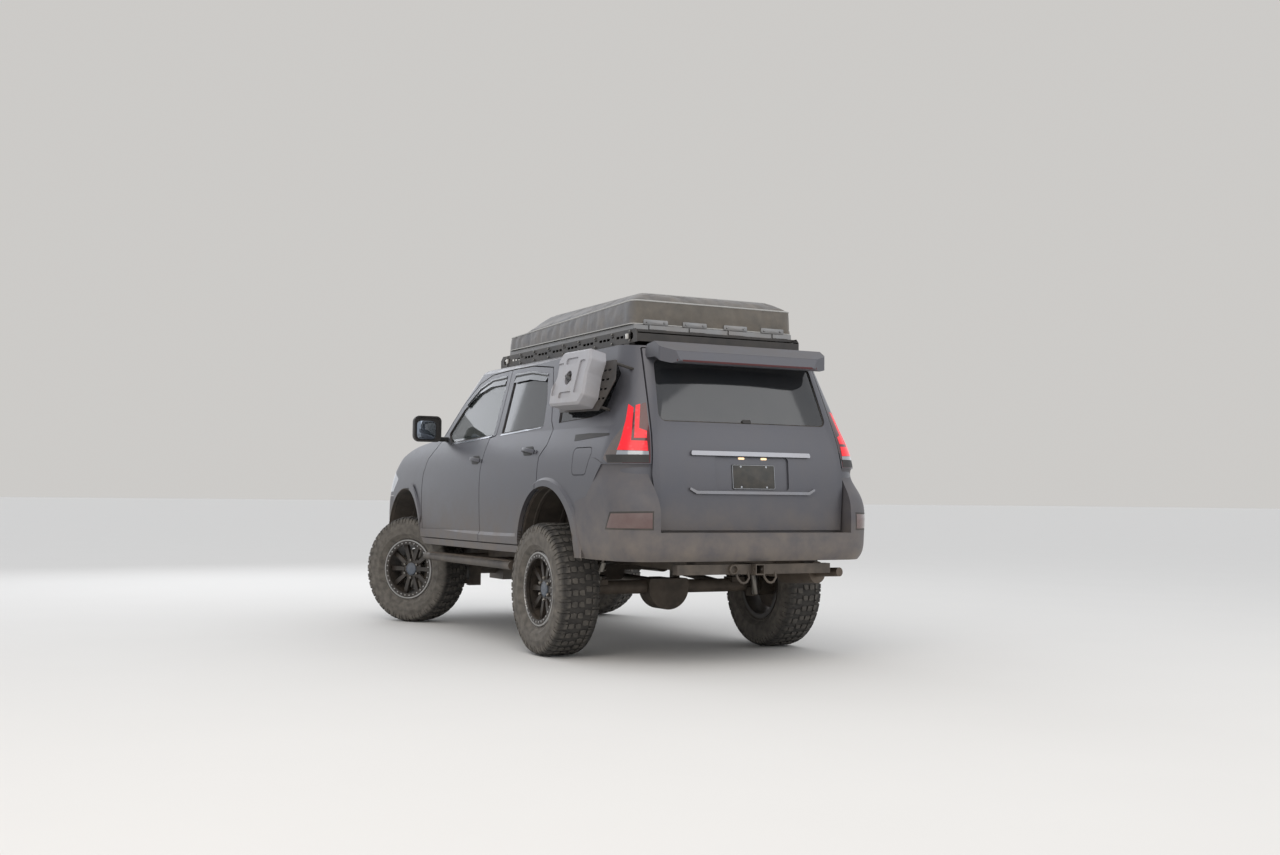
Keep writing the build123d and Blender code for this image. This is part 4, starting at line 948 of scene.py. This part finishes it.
# Moulded plastic: smooth blue grey.
cap_plastic, coat = new_material("blue_grey_hub_cap", 0.35)
dusty(coat, "#4e5a68", road_dust, -0.3, 0.9, 0.25, 0.2, 60)
grain(coat, 4, 0.1, 0.1)
cap = lathe([(50, 62), (51, 66), (48, 74), (38, 79), (37, 77), (20, 78), (8, 82), (3, 82.5)], 36)
on_all_wheels("hub_cap", on_wheel(cap), cap_plastic, "rim_black")


# Tyres: all-terrain tyres of black rubber gone grey-brown with dust. Moulded in 36 pitches:
# a zigzag centre rib of blocks, two rows beside it, and shoulder lugs that run down the side.
tyre_radius, pitches = 420, 36


def round_tyre(r, along, y):
    """A point at radius r, so far along the tread from the top and so far across it."""
    return Vector((r * math.sin(along / tyre_radius), y, r * math.cos(along / tyre_radius)))


def lug(outline, radius, depth):
    """A tread block from (around, across) corners, standing on the crown that falls to the side."""
    crown_half, fall_over, fall = 84, 40, 15
    points = []
    for ring, height in ((outline, -3), (outline, depth - 1.5), (shrunk(outline, 1.5), depth)):
        for a, y in ring:
            drop = max(0.0, (abs(y) - crown_half) / fall_over) ** 2 * fall
            points.append(round_tyre(radius + height - drop, a, y))
    count = len(outline)
    ends = [list(reversed(range(count))), [2 * count + k for k in range(count)]]
    return points, ends + ring_faces(3, count)


def side_lug(start, width, inner_r, side):
    """A bar of rubber on the tyre's shoulder, from the tread down the sidewall."""
    rows = ((413.5, 117), (408, 126), (398, 133), (384, 138.5), (inner_r, 140.5))
    points = []
    for r, y in rows:
        for a in (start, start + width):
            for lift in (0, -7):
                points.append(round_tyre(r + lift * 0.4, a, (y + lift) * side))
    faces = []
    for i in range(len(rows) - 1):
        a = i * 4
        b = a + 4
        faces += [[a, a + 2, b + 2, b], [a + 1, b + 1, b + 3, a + 3]]
        faces += [[a, b, b + 1, a + 1], [a + 2, a + 3, b + 3, b + 2]]
    last = (len(rows) - 1) * 4
    faces += [[0, 1, 3, 2], [last, last + 2, last + 3, last + 1]]
    return points, faces


# Tread rubber: dull, with dust on the sidewalls and the worn crown, and a painted shade that keeps the
# grooves darker.
rubber, coat = new_material("dusty_tyre_rubber", 0.88, 0.0, 1.52)
tree, shader, place = coat
radius_from_axle = add(tree, "ShaderNodeVectorMath", {0: place}, operation="MULTIPLY")
radius_from_axle.inputs[1].default_value = (1, 0, 1)
reach = add(tree, "ShaderNodeVectorMath", {0: radius_from_axle.outputs["Vector"]}, operation="LENGTH")
side_dust = add(tree, "ShaderNodeMapRange", {
    "Value": reach.outputs["Value"], "From Min": 0.392, "From Max": 0.411, "To Min": 0.8, "To Max": 0.2,
})
# Dust on the block tops, and painted shade in the grooves below them, which get less of the pale mix.
crown_dust_and_groove_shade = add(tree, "ShaderNodeMapRange", {
    "Value": reach.outputs["Value"], "From Min": 0.414, "From Max": 0.4205, "To Min": 0.1, "To Max": 0.5,
})
wear_dust_and_groove_shade = add(tree, "ShaderNodeMath", {
    0: side_dust.outputs["Result"], 1: crown_dust_and_groove_shade.outputs["Result"],
}, operation="MAXIMUM")
patches = add(tree, "ShaderNodeTexNoise", {"Vector": place, "Scale": per_metre(45), "Detail": 6.0})
caked_dust_and_groove_shade = add(tree, "ShaderNodeMath", {
    0: wear_dust_and_groove_shade.outputs["Value"], 1: patches.outputs["Fac"],
}, operation="MULTIPLY", use_clamp=True)
dusted_rubber_and_groove_shade = add(tree, "ShaderNodeMix", {
    "Factor": caked_dust_and_groove_shade.outputs["Value"], "A": linear("#232222"), "B": linear("#8d867c"),
}, data_type="RGBA")
tree.links.new(dusted_rubber_and_groove_shade.outputs["Result"], shader.inputs["Base Color"])
grain(coat, 2.5, 0.5, 0.7)
# One side of the carcass as (radius, across), from the bead over the sidewall's ribs to the crown
carcass_side = [
    (217, 92), (224, 99), (238, 99.3), (246, 111), (249, 113.5), (253, 112.5),
    (280, 135.5), (283, 138), (290, 137.5), (325, 141), (328, 142.3), (332, 141.3),
    (368, 137), (392, 128), (402, 120), (408, 104), (411, 84), (412.5, 40),
]
carcass = carcass_side + [(r, -y) for r, y in reversed(carcass_side)]
centre_block = [(-16, -20), (15, -14), (18, 3), (9, 19), (-14, 15), (-19, -4)]
side_blocks = (
    # radius of the crown under the block, block's height, its outline as (around, across)
    (411.8, 10.4, [(-17, 29), (14, 27), (19, 42), (13, 64), (-15, 66), (-20, 46)]),
    (410.6, 11, [(-22, 74), (10, 73), (15, 90), (12, 123), (-18, 124), (-24, 96)]),
    (410.6, 9.5, [(20, 76), (31, 75), (34, 92), (31, 117), (19, 118), (17, 95)]),
)
stagger = 22
blocks = [lug(centre_block, 412.4, 10)]
for radius, depth, outline in side_blocks:
    far_side = [(a + stagger, -y) for a, y in reversed(outline)]
    blocks += [lug(outline, radius, depth), lug(far_side, radius, depth)]
for side, first in ((1, -stagger), (-1, 0)):
    blocks += [side_lug(first, 30, 362, side), side_lug(first + 39, 15, 374, side)]
tread = around(joined(*blocks), pitches)
tyre_body = on_wheel(lathe(carcass, 96, True))
on_all_wheels("tyre_tread", joined(tyre_body, tread), rubber, "tyre_rubber", "tyre")

# Roof rack and side steps: folded and laser-cut steel under black powder coat, bolted to
# aluminium slats, with a pale square marker lamp near each end of the rack's sides and ribbed
# rubber treads on the steps.
powder_coat, coat = new_material("black_powder_coated_steel", 0.5)
dusty(coat, "#1a1b1d", road_dust, 0.4, 2.0, 0.4, 0.16)
grain(coat, 1.2, 0.25, 0.2)
finish(powder_coat, "roof_rack", "side_steps", "can_panel")
rack_bolt = lathe([(8, 0), (8, 4), (6, 6), (3.5, 6), (3.5, 4)], 14)
rear_bolt_x, bolt_step, bolt_columns, rack_side = -574, 248, 9, 597.8
rack_bolts = []
for x in [rear_bolt_x + bolt_step * i for i in range(bolt_columns)]:
    for z in (1981, 2040):
        rack_bolts.append(placed(rack_bolt, (x, rack_side, z), across_car))
rack_bolts = joined(*rack_bolts)
piece("rack_bolts", joined(rack_bolts, mirrored(rack_bolts)), damper_steel, "chassis", "rack_black")
# Moulded lens: pale, half matt.
marker_lens, coat = new_material("pale_marker_lamp", 0.3, 0.0, 1.49)
tinted(coat, "#b7b4ad", "#c8c5be", 8)
grain(coat, 3, 0.3, 0.3)
marker_block = prism(rounded(34, 34, 5), 0, 7, 2)
marker = joined(*[placed(marker_block, (x, 597.5, 2010), across_car) for x in (-540, 1405)])
piece("rack_markers", joined(marker, mirrored(marker)), marker_lens, "chassis", "lamp_clear")
# Ribbed rubber: dull black, full of dust.
tread_rubber, coat = new_material("ribbed_step_rubber", 0.8)
dusty(coat, "#1c1b1b", road_dust, 0.2, 0.7, 0.7, 0.5, 60)
grain(coat, 2, 0.4, 0.4)
step_top = surface("side_steps")
rib_block = prism(rounded(16, 96, 4), 0, 3.5, 1.2)
step_y, lowest_top = 905, 350
ribs = []
for x in range(560, 2150, 30):
    hit, _, _, _ = step_top.ray_cast(Vector((x, step_y, 1500)), Vector((0, 0, -1)))
    if hit and hit.z > lowest_top:
        ribs.append(placed(rib_block, (x, step_y, hit.z), upright, across_car))
ribs = joined(*ribs)
piece("step_treads", joined(ribs, mirrored(ribs)), tread_rubber, "chassis", "black_plastic")

# Roof tent: a folded tent on a base of mill finish aluminium, an uneven grey metal, under a
# fitted travel cover of coated cloth. The cover is sewn from a top and a skirt, and piped
# along its seams.
tent_metal, coat = new_material("mill_finish_aluminium", 0.42, 1.0)
dusty(coat, mottled(coat, "#77797b", "#8b8d8f", 90), road_dust, 1.9, 2.2, 0.4, 0.25)
grain(coat, 6, 0.12, 0.1)
finish(tent_metal, "tent_base")
cover_rows = (
    # height along the cover's own wall: half width, rear x, front x, rear z, front z
    (592, -594, 1400, 2085.3, 2085.3),
    (590, -592, 1398, 2135, 2125),
    (584, -586, 1390, 2236, 2179),
    (560, -566, 1340, 2252, 2192),
    (515, -528, 1120, 2276, 2232),
    (470, -490, 860, 2296, 2296),
)
around_count, cover_corner = 240, 42


def cover_ring(row):
    """One level of the cover, as a rounded rectangle that slopes from rear to front."""
    half_width, rear, front, rear_z, front_z = row
    middle = (rear + front) / 2
    outline = rounded(front - rear, 2 * half_width, cover_corner, 10)
    closed = outline + [outline[0]]
    total = [0.0]
    for a, b in zip(closed, closed[1:]):
        total.append(total[-1] + (Vector(b) - Vector(a)).length)
    ring = []
    for k in range(around_count):
        wanted = total[-1] * k / around_count
        i = max(j for j in range(len(outline)) if total[j] <= wanted)
        share = (wanted - total[i]) / max(1e-6, total[i + 1] - total[i])
        x, y = Vector(closed[i]).lerp(Vector(closed[i + 1]), share)
        z = rear_z + (front_z - rear_z) * (x + middle - rear) / (front - rear)
        ring.append(Vector((x + middle, y, z)))
    return ring


levels = []
skirt_parts = (7, 7, 4, 4, 4)
for low_row, high_row, parts in zip(cover_rows, cover_rows[1:], skirt_parts):
    low, high = cover_ring(low_row), cover_ring(high_row)
    for k in range(parts):
        levels.append([a.lerp(b, k / parts) for a, b in zip(low, high)])
hem, seam, top_edge = 0, skirt_parts[0] + skirt_parts[1], len(levels)
top_ring = cover_ring(cover_rows[-1])
levels.append(top_ring)
centre = sum(top_ring, Vector()) / len(top_ring)
for share in (0.86, 0.7, 0.54, 0.38, 0.24, 0.12):
    levels.append([centre.lerp(p, share) for p in top_ring])
points = [p for ring in levels for p in ring] + [centre]
faces = ring_faces(len(levels), around_count)
last = (len(levels) - 1) * around_count
faces += [[last + k, last + (k + 1) % around_count, len(points) - 1] for k in range(around_count)]
# Coated polyester: grey and matt, with soft creases, and a painted shade that makes its tail face darker and
# browner.
# The weave is drawn coarser than the real one, so that it shows.
cover_cloth, coat = new_material("coated_travel_cover_cloth", 0.72, 0.0, 1.48, {"Sheen Weight": 0.2})
tree, shader, place = coat
base = mottled(coat, "#55585d", "#64676d", 260)
# Painted shade: faces that look rearward are mixed toward a dark brown grey.
behind = add(tree, "ShaderNodeSeparateXYZ", {
    "Vector": add(tree, "ShaderNodeNewGeometry").outputs["Normal"],
}).outputs["X"]
rearward_shade_share = add(tree, "ShaderNodeMapRange", {
    "Value": behind, "From Min": -0.9, "From Max": -0.2, "To Min": 0.75, "To Max": 0.0,
})
tail_shaded_cloth = add(tree, "ShaderNodeMix", {
    "Factor": rearward_shade_share.outputs["Result"], "A": base, "B": linear("#4c473d"),
}, data_type="RGBA")
dusty(coat, tail_shaded_cloth.outputs["Result"], pale_dust, 2.05, 2.3, 0.35, 0.22, 90)
weave = add(tree, "ShaderNodeTexNoise", {"Vector": place, "Scale": per_metre(2.2), "Detail": 3.0})
creases = add(tree, "ShaderNodeTexNoise", {
    "Vector": place, "Scale": per_metre(75), "Detail": 4.0, "Distortion": 1.2,
})
fine = add(tree, "ShaderNodeBump", {"Height": weave.outputs["Fac"], "Strength": 0.3, "Distance": 0.0004})
bump = add(tree, "ShaderNodeBump", {
    "Height": creases.outputs["Fac"], "Strength": 0.55, "Distance": 0.006, "Normal": fine.outputs["Normal"],
})
tree.links.new(bump.outputs["Normal"], shader.inputs["Normal"])
cover = piece("tent_travel_cover", (points, faces), cover_cloth, "chassis", "cover_fabric", 180)
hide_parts("tent_cover")


def relax_cloth(shown, held, pressure, frames):
    """Lets the sewn cloth settle: the held vertices stay, the rest fills and creases."""
    longest_move = 0.011
    shown.vertex_groups.new(name="held").add(held, 1.0, "REPLACE")
    cloth = shown.modifiers.new("settle", "CLOTH")
    settings = cloth.settings
    settings.quality = 6
    settings.mass = 0.35
    settings.tension_stiffness = 30
    settings.compression_stiffness = 12
    settings.bending_stiffness = 0.4
    settings.use_pressure = True
    settings.uniform_pressure_force = pressure
    settings.effector_weights.gravity = 0
    settings.shrink_min = -0.012
    settings.vertex_group_mass = "held"
    scene = bpy.context.scene
    for number in range(1, frames + 1):
        scene.frame_set(number)
    settled = bpy.data.meshes.new_from_object(shown.evaluated_get(bpy.context.evaluated_depsgraph_get()))
    rest = [v.co.copy() for v in shown.data.vertices]
    shown.modifiers.remove(cloth)
    shown.vertex_groups.clear()
    for vertex, start, moved in zip(shown.data.vertices, rest, settled.vertices):
        step = moved.co - start
        if step.length > longest_move:
            step = step.normalized() * longest_move
        if not math.isnan(step.length):
            vertex.co = start + step
    scene.frame_set(1)


held = [i for i in range(len(points)) if i // around_count in (hem, seam, top_edge)]
relax_cloth(cover, held, 1.2, 16)
# Piping: pale matt cloth over a cord.
piping_cloth, coat = new_material("light_piping_cord", 0.7)
tinted(coat, "#a3a3a0", "#b4b3b0", 30)
grain(coat, 2, 0.4, 0.3)
above_hem = Vector((0, 0, 3))
lines = (
    # the line that the piping follows, its radius
    (cover_ring(cover_rows[2]), 5), (cover_ring(cover_rows[5]), 4),
    ([p + above_hem for p in cover_ring(cover_rows[0])], 4),
)
pipes = joined(*[
    swept(line, round_section(radius, 8), [upright] * around_count, True) for line, radius in lines
])
piece("cover_piping", pipes, piping_cloth, "chassis", "cover_fabric")
hinge_leaf = prism(rounded(176, 34, 8), 0, 6, 1.5)
hinge_screw = lathe([(7, 5), (7, 9), (5, 11), (2, 11)], 14)
hinge_x, hinge_z, screw_side, rearward = -595.5, 2100, 62, (-1, 0, 0)
hinges = []
for y in (-430, -150, 150, 430):
    hinges.append(placed(hinge_leaf, (hinge_x, y, hinge_z), rearward))
    for side in (-screw_side, screw_side):
        hinges.append(placed(hinge_screw, (hinge_x, y + side, hinge_z), rearward))
piece("tent_hinges", joined(*hinges), tent_metal, "chassis", "tent_aluminium")

# Fuel can: a roto-moulded grey polyethylene can, half matt and slightly pitted, held to the
# slotted black panel by a T-knob through its waist, with a wire loop beside the knob.
can_body, coat = new_material("rotomoulded_grey_polyethylene", 0.5, 0.0, 1.52)
dusty(coat, mottled(coat, "#96969b", "#a3a3a8", 70), pale_dust, 1.5, 1.9, 0.3, 0.12, 60)
grain(coat, 1.5, 0.3, 0.3)
finish(can_body, "fuel_can")
can_lean = math.radians(14)
can_out = Vector((0, math.cos(can_lean), math.sin(can_lean)))
can_up = Vector((0, -math.sin(can_lean), math.cos(can_lean)))


def on_can(u, v, w):
    """A point on the can: u toward the tail, v up, w out from the panel."""
    return Vector((-400 - u, 822, 1690)) + can_up * v + can_out * w


knob_foot = on_can(-10, 30, 90)
knob_profile = [(30, -2), (34, 2), (34, 8), (16, 12), (14, 24), (6, 26)]
knob = placed(lathe(knob_profile, 24), knob_foot, can_out, can_up)
bar_line = []
for a, bow in ((-46, -1.5), (-30, 0), (-14, 1.5), (0, 3), (14, 1.5), (30, 0), (46, -1.5)):
    bar_line.append(knob_foot + can_out * 24 + Vector((a, 0, 0)) + can_up * (a * 0.35) + can_out * bow)
loop_parts, loop_side, loop_radius = 16, 34, 22
loop = []
for k in range(loop_parts):
    angle = 2 * math.pi * k / loop_parts
    sideways = Vector((loop_side + loop_radius * math.cos(angle), 0, 0))
    loop.append(knob_foot + can_out * 16 + sideways + can_up * (loop_radius + loop_radius * math.sin(angle)))
tee = joined(knob, swept(bar_line, round_section(10, 12)), swept(loop, round_section(2.5, 8), None, True))
piece("can_knob", tee, black_plastic, "chassis", "black_plastic")


# Seats: two front buckets and a rear bench of black grained leather over moulded foam, each
# with head restraints on steel posts. Each pad is shaped by its sizes, with no cloth run.
def cushion_shape(size, bulge, corner, steps=14):
    """A padded block: a box with round edges whose middle swells, about its own centre."""
    half = [s / 2 for s in size]
    work = bmesh.new()
    bmesh.ops.create_cube(work, size=2.0)
    bmesh.ops.subdivide_edges(work, edges=work.edges[:], cuts=steps, use_grid_fill=True)
    points = []
    for vertex in work.verts:
        p = Vector([c * h for c, h in zip(vertex.co, half)])
        inner = Vector([max(-h + corner, min(h - corner, c)) for c, h in zip(p, half)])
        away = p - inner
        if away.length > 0:
            p = inner + away.normalized() * corner
        for axis in range(3):
            share = 1.0
            for other in range(3):
                if other != axis:
                    share *= max(0.0, 1 - (p[other] / half[other]) ** 2)
            p[axis] += math.copysign(bulge, p[axis]) * share if abs(vertex.co[axis]) > 0.999 else 0.0
        points.append(p)
    work.verts.index_update()
    faces = [[v.index for v in face.verts] for face in work.faces]
    work.free()
    return points, faces


# Coated leather: black and half matt. Its grain is drawn coarser, so that it shows.
leather, coat = new_material("black_grained_leather", 0.48)
dusty(coat, mottled(coat, "#252423", "#31302e", 120), road_dust, 0.6, 1.2, 0.15, 0.03)
grain(coat, 2.5, 0.4, 0.5)
finish(leather, "front_seats", "rear_seat")


def seat_pad(name, middle, size, tilt_deg, bulge, corner, cad=()):
    """One leather pad, tilted about the seat's width."""
    turn = Matrix.Rotation(math.radians(tilt_deg), 3, "Y")
    local, faces = cushion_shape(size, bulge, corner)
    shape = ([turn @ p + Vector(middle) for p in local], faces)
    made = piece(name, shape, leather, "chassis", "seat_leather", 180)
    if cad:
        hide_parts(*cad)
    return made


for side, y in (("left", 390), ("right", -390)):
    cad = ("front_seats",) if side == "left" else ()
    seat_pad("front_cushion_" + side, (1300, y, 790), (500, 480, 150), -6, 12, 50, cad)
    seat_pad("front_backrest_" + side, (1025, y, 1120), (140, 470, 560), -14, 10, 55)
    seat_pad("front_restraint_" + side, (935, y, 1525), (90, 270, 170), -10, 6, 40)
seat_pad("rear_cushion", (480, 0, 800), (460, 1130, 160), -6, 12, 55, ("rear_seat",))
seat_pad("rear_backrest", (200, 0, 1130), (130, 1130, 560), -12, 10, 50)
for y in (-380, 0, 380):
    seat_pad(f"rear_restraint_{380 + y}", (125, y, 1500), (80, 260, 130), -10, 6, 35)
post_rows = (
    # x at the restraint, z of the two ends, seats across
    (950, 1370, 1470, (-390, 390)),
    (138, 1380, 1460, (-380, 0, 380)),
)
post_side, post_lean, post_radius = 60, 14, 6
posts = []
for x, z_low, z_high, ys in post_rows:
    for y in ys:
        for side in (-post_side, post_side):
            line = [(x + post_lean, y + side, z_low), (x, y + side, z_high)]
            posts.append(swept(line, round_section(post_radius)))
piece("restraint_posts", joined(*posts), damper_steel, "chassis", "chrome_trim")

# Dashboard and steering wheel: grained black mouldings, with a flat glossy screen set in the
# middle of the dash.
finish(black_plastic, "dashboard", "steering_wheel")
screen = placed(prism(rounded(230, 130, 10), 0, 6, 2), (1905, 0, 1290), (-1, 0, 0.1))
piece("dash_controls", screen, deflector, "chassis", "dash_plastic")

# Studio: a wide pale floor of matt paint, a pale surround, and soft light from large lamps.
floor_mesh = bpy.data.meshes.new("studio_floor")
floor_half = 400
corners = [(x * floor_half, y * floor_half, 0) for x, y in ((-1, -1), (1, -1), (1, 1), (-1, 1))]
floor_mesh.from_pydata(corners, [], [(0, 1, 2, 3)])
floor = bpy.data.objects.new("studio_floor", floor_mesh)
bpy.context.scene.collection.objects.link(floor)
floor_paint, coat = new_material("pale_studio_floor", 0.9)
tinted(coat, "#dcdad6", "#dfddd9", 900)
grain(coat, 8, 0.05, 0.2)
floor_mesh.materials.append(floor_paint)

world = bpy.data.worlds.new("soft_studio_sky")
world.use_nodes = True
bpy.context.scene.world = world
sky = world.node_tree
lit = sky.nodes["Background"]
lit.inputs["Color"].default_value = linear("#e8eaee")
lit.inputs["Strength"].default_value = 1.05
seen = add(sky, "ShaderNodeBackground", {"Color": linear("#dedcd9"), "Strength": 0.83})
ray = add(sky, "ShaderNodeLightPath")
mixed = add(sky, "ShaderNodeMixShader", {
    0: ray.outputs["Is Camera Ray"], 1: lit.outputs["Background"], 2: seen.outputs["Background"],
})
sky.links.new(mixed.outputs["Shader"], sky.nodes["World Output"].inputs["Surface"])


def area_lamp(name, place, aim, size, watts, tint):
    """A soft square lamp in the studio."""
    lamp = bpy.data.lights.new(name, "AREA")
    lamp.size = size
    lamp.energy = watts
    lamp.color = linear(tint)[:3]
    holder = bpy.data.objects.new(name, lamp)
    holder.location = place
    holder.rotation_euler = (Vector(aim) - Vector(place)).to_track_quat("-Z", "Y").to_euler()
    bpy.context.scene.collection.objects.link(holder)


# name, place, aim, size in metres, watts, tint
area_lamp("key_softbox", (-7.5, 5.5, 7.0), (0, 0, 1.0), 6.0, 260, "#fff6ec")
area_lamp("rear_softbox", (-8.5, -4.0, 5.0), (0, 0, 1.0), 5.0, 90, "#ffffff")
area_lamp("front_softbox", (8.0, 1.0, 6.0), (0, 0, 1.0), 6.0, 200, "#f4f8ff")

# Camera: low and behind the left rear corner, as the photograph was taken.
camera_place = (-8438.7, 4633.65, 999.7)
camera_yaw, camera_pitch, camera_roll = (math.radians(a) for a in (-27.6115, 2.8685, 0.5594))
lens_pixels, picture_width, sensor_width = 1434.44, 1280, 36
camera_data = bpy.data.cameras.new("camera")
camera_data.sensor_width = sensor_width
camera_data.lens = sensor_width * lens_pixels / picture_width
camera_data.clip_end = 1000
camera = bpy.data.objects.new("camera", camera_data)
bpy.context.scene.collection.objects.link(camera)
level = math.cos(camera_pitch)
forward = Vector((level * math.cos(camera_yaw), level * math.sin(camera_yaw), math.sin(camera_pitch)))
right = Vector((math.sin(camera_yaw), -math.cos(camera_yaw), 0))
up = right.cross(forward)
rolled_right = right * math.cos(camera_roll) + up * math.sin(camera_roll)
rolled_up = up * math.cos(camera_roll) - right * math.sin(camera_roll)
turn = Matrix((rolled_right, rolled_up, -forward)).transposed()
camera.matrix_world = Matrix.Translation(at(*camera_place)) @ turn.to_4x4()
bpy.context.scene.camera = camera
bpy.context.scene.view_settings.view_transform = "Standard"
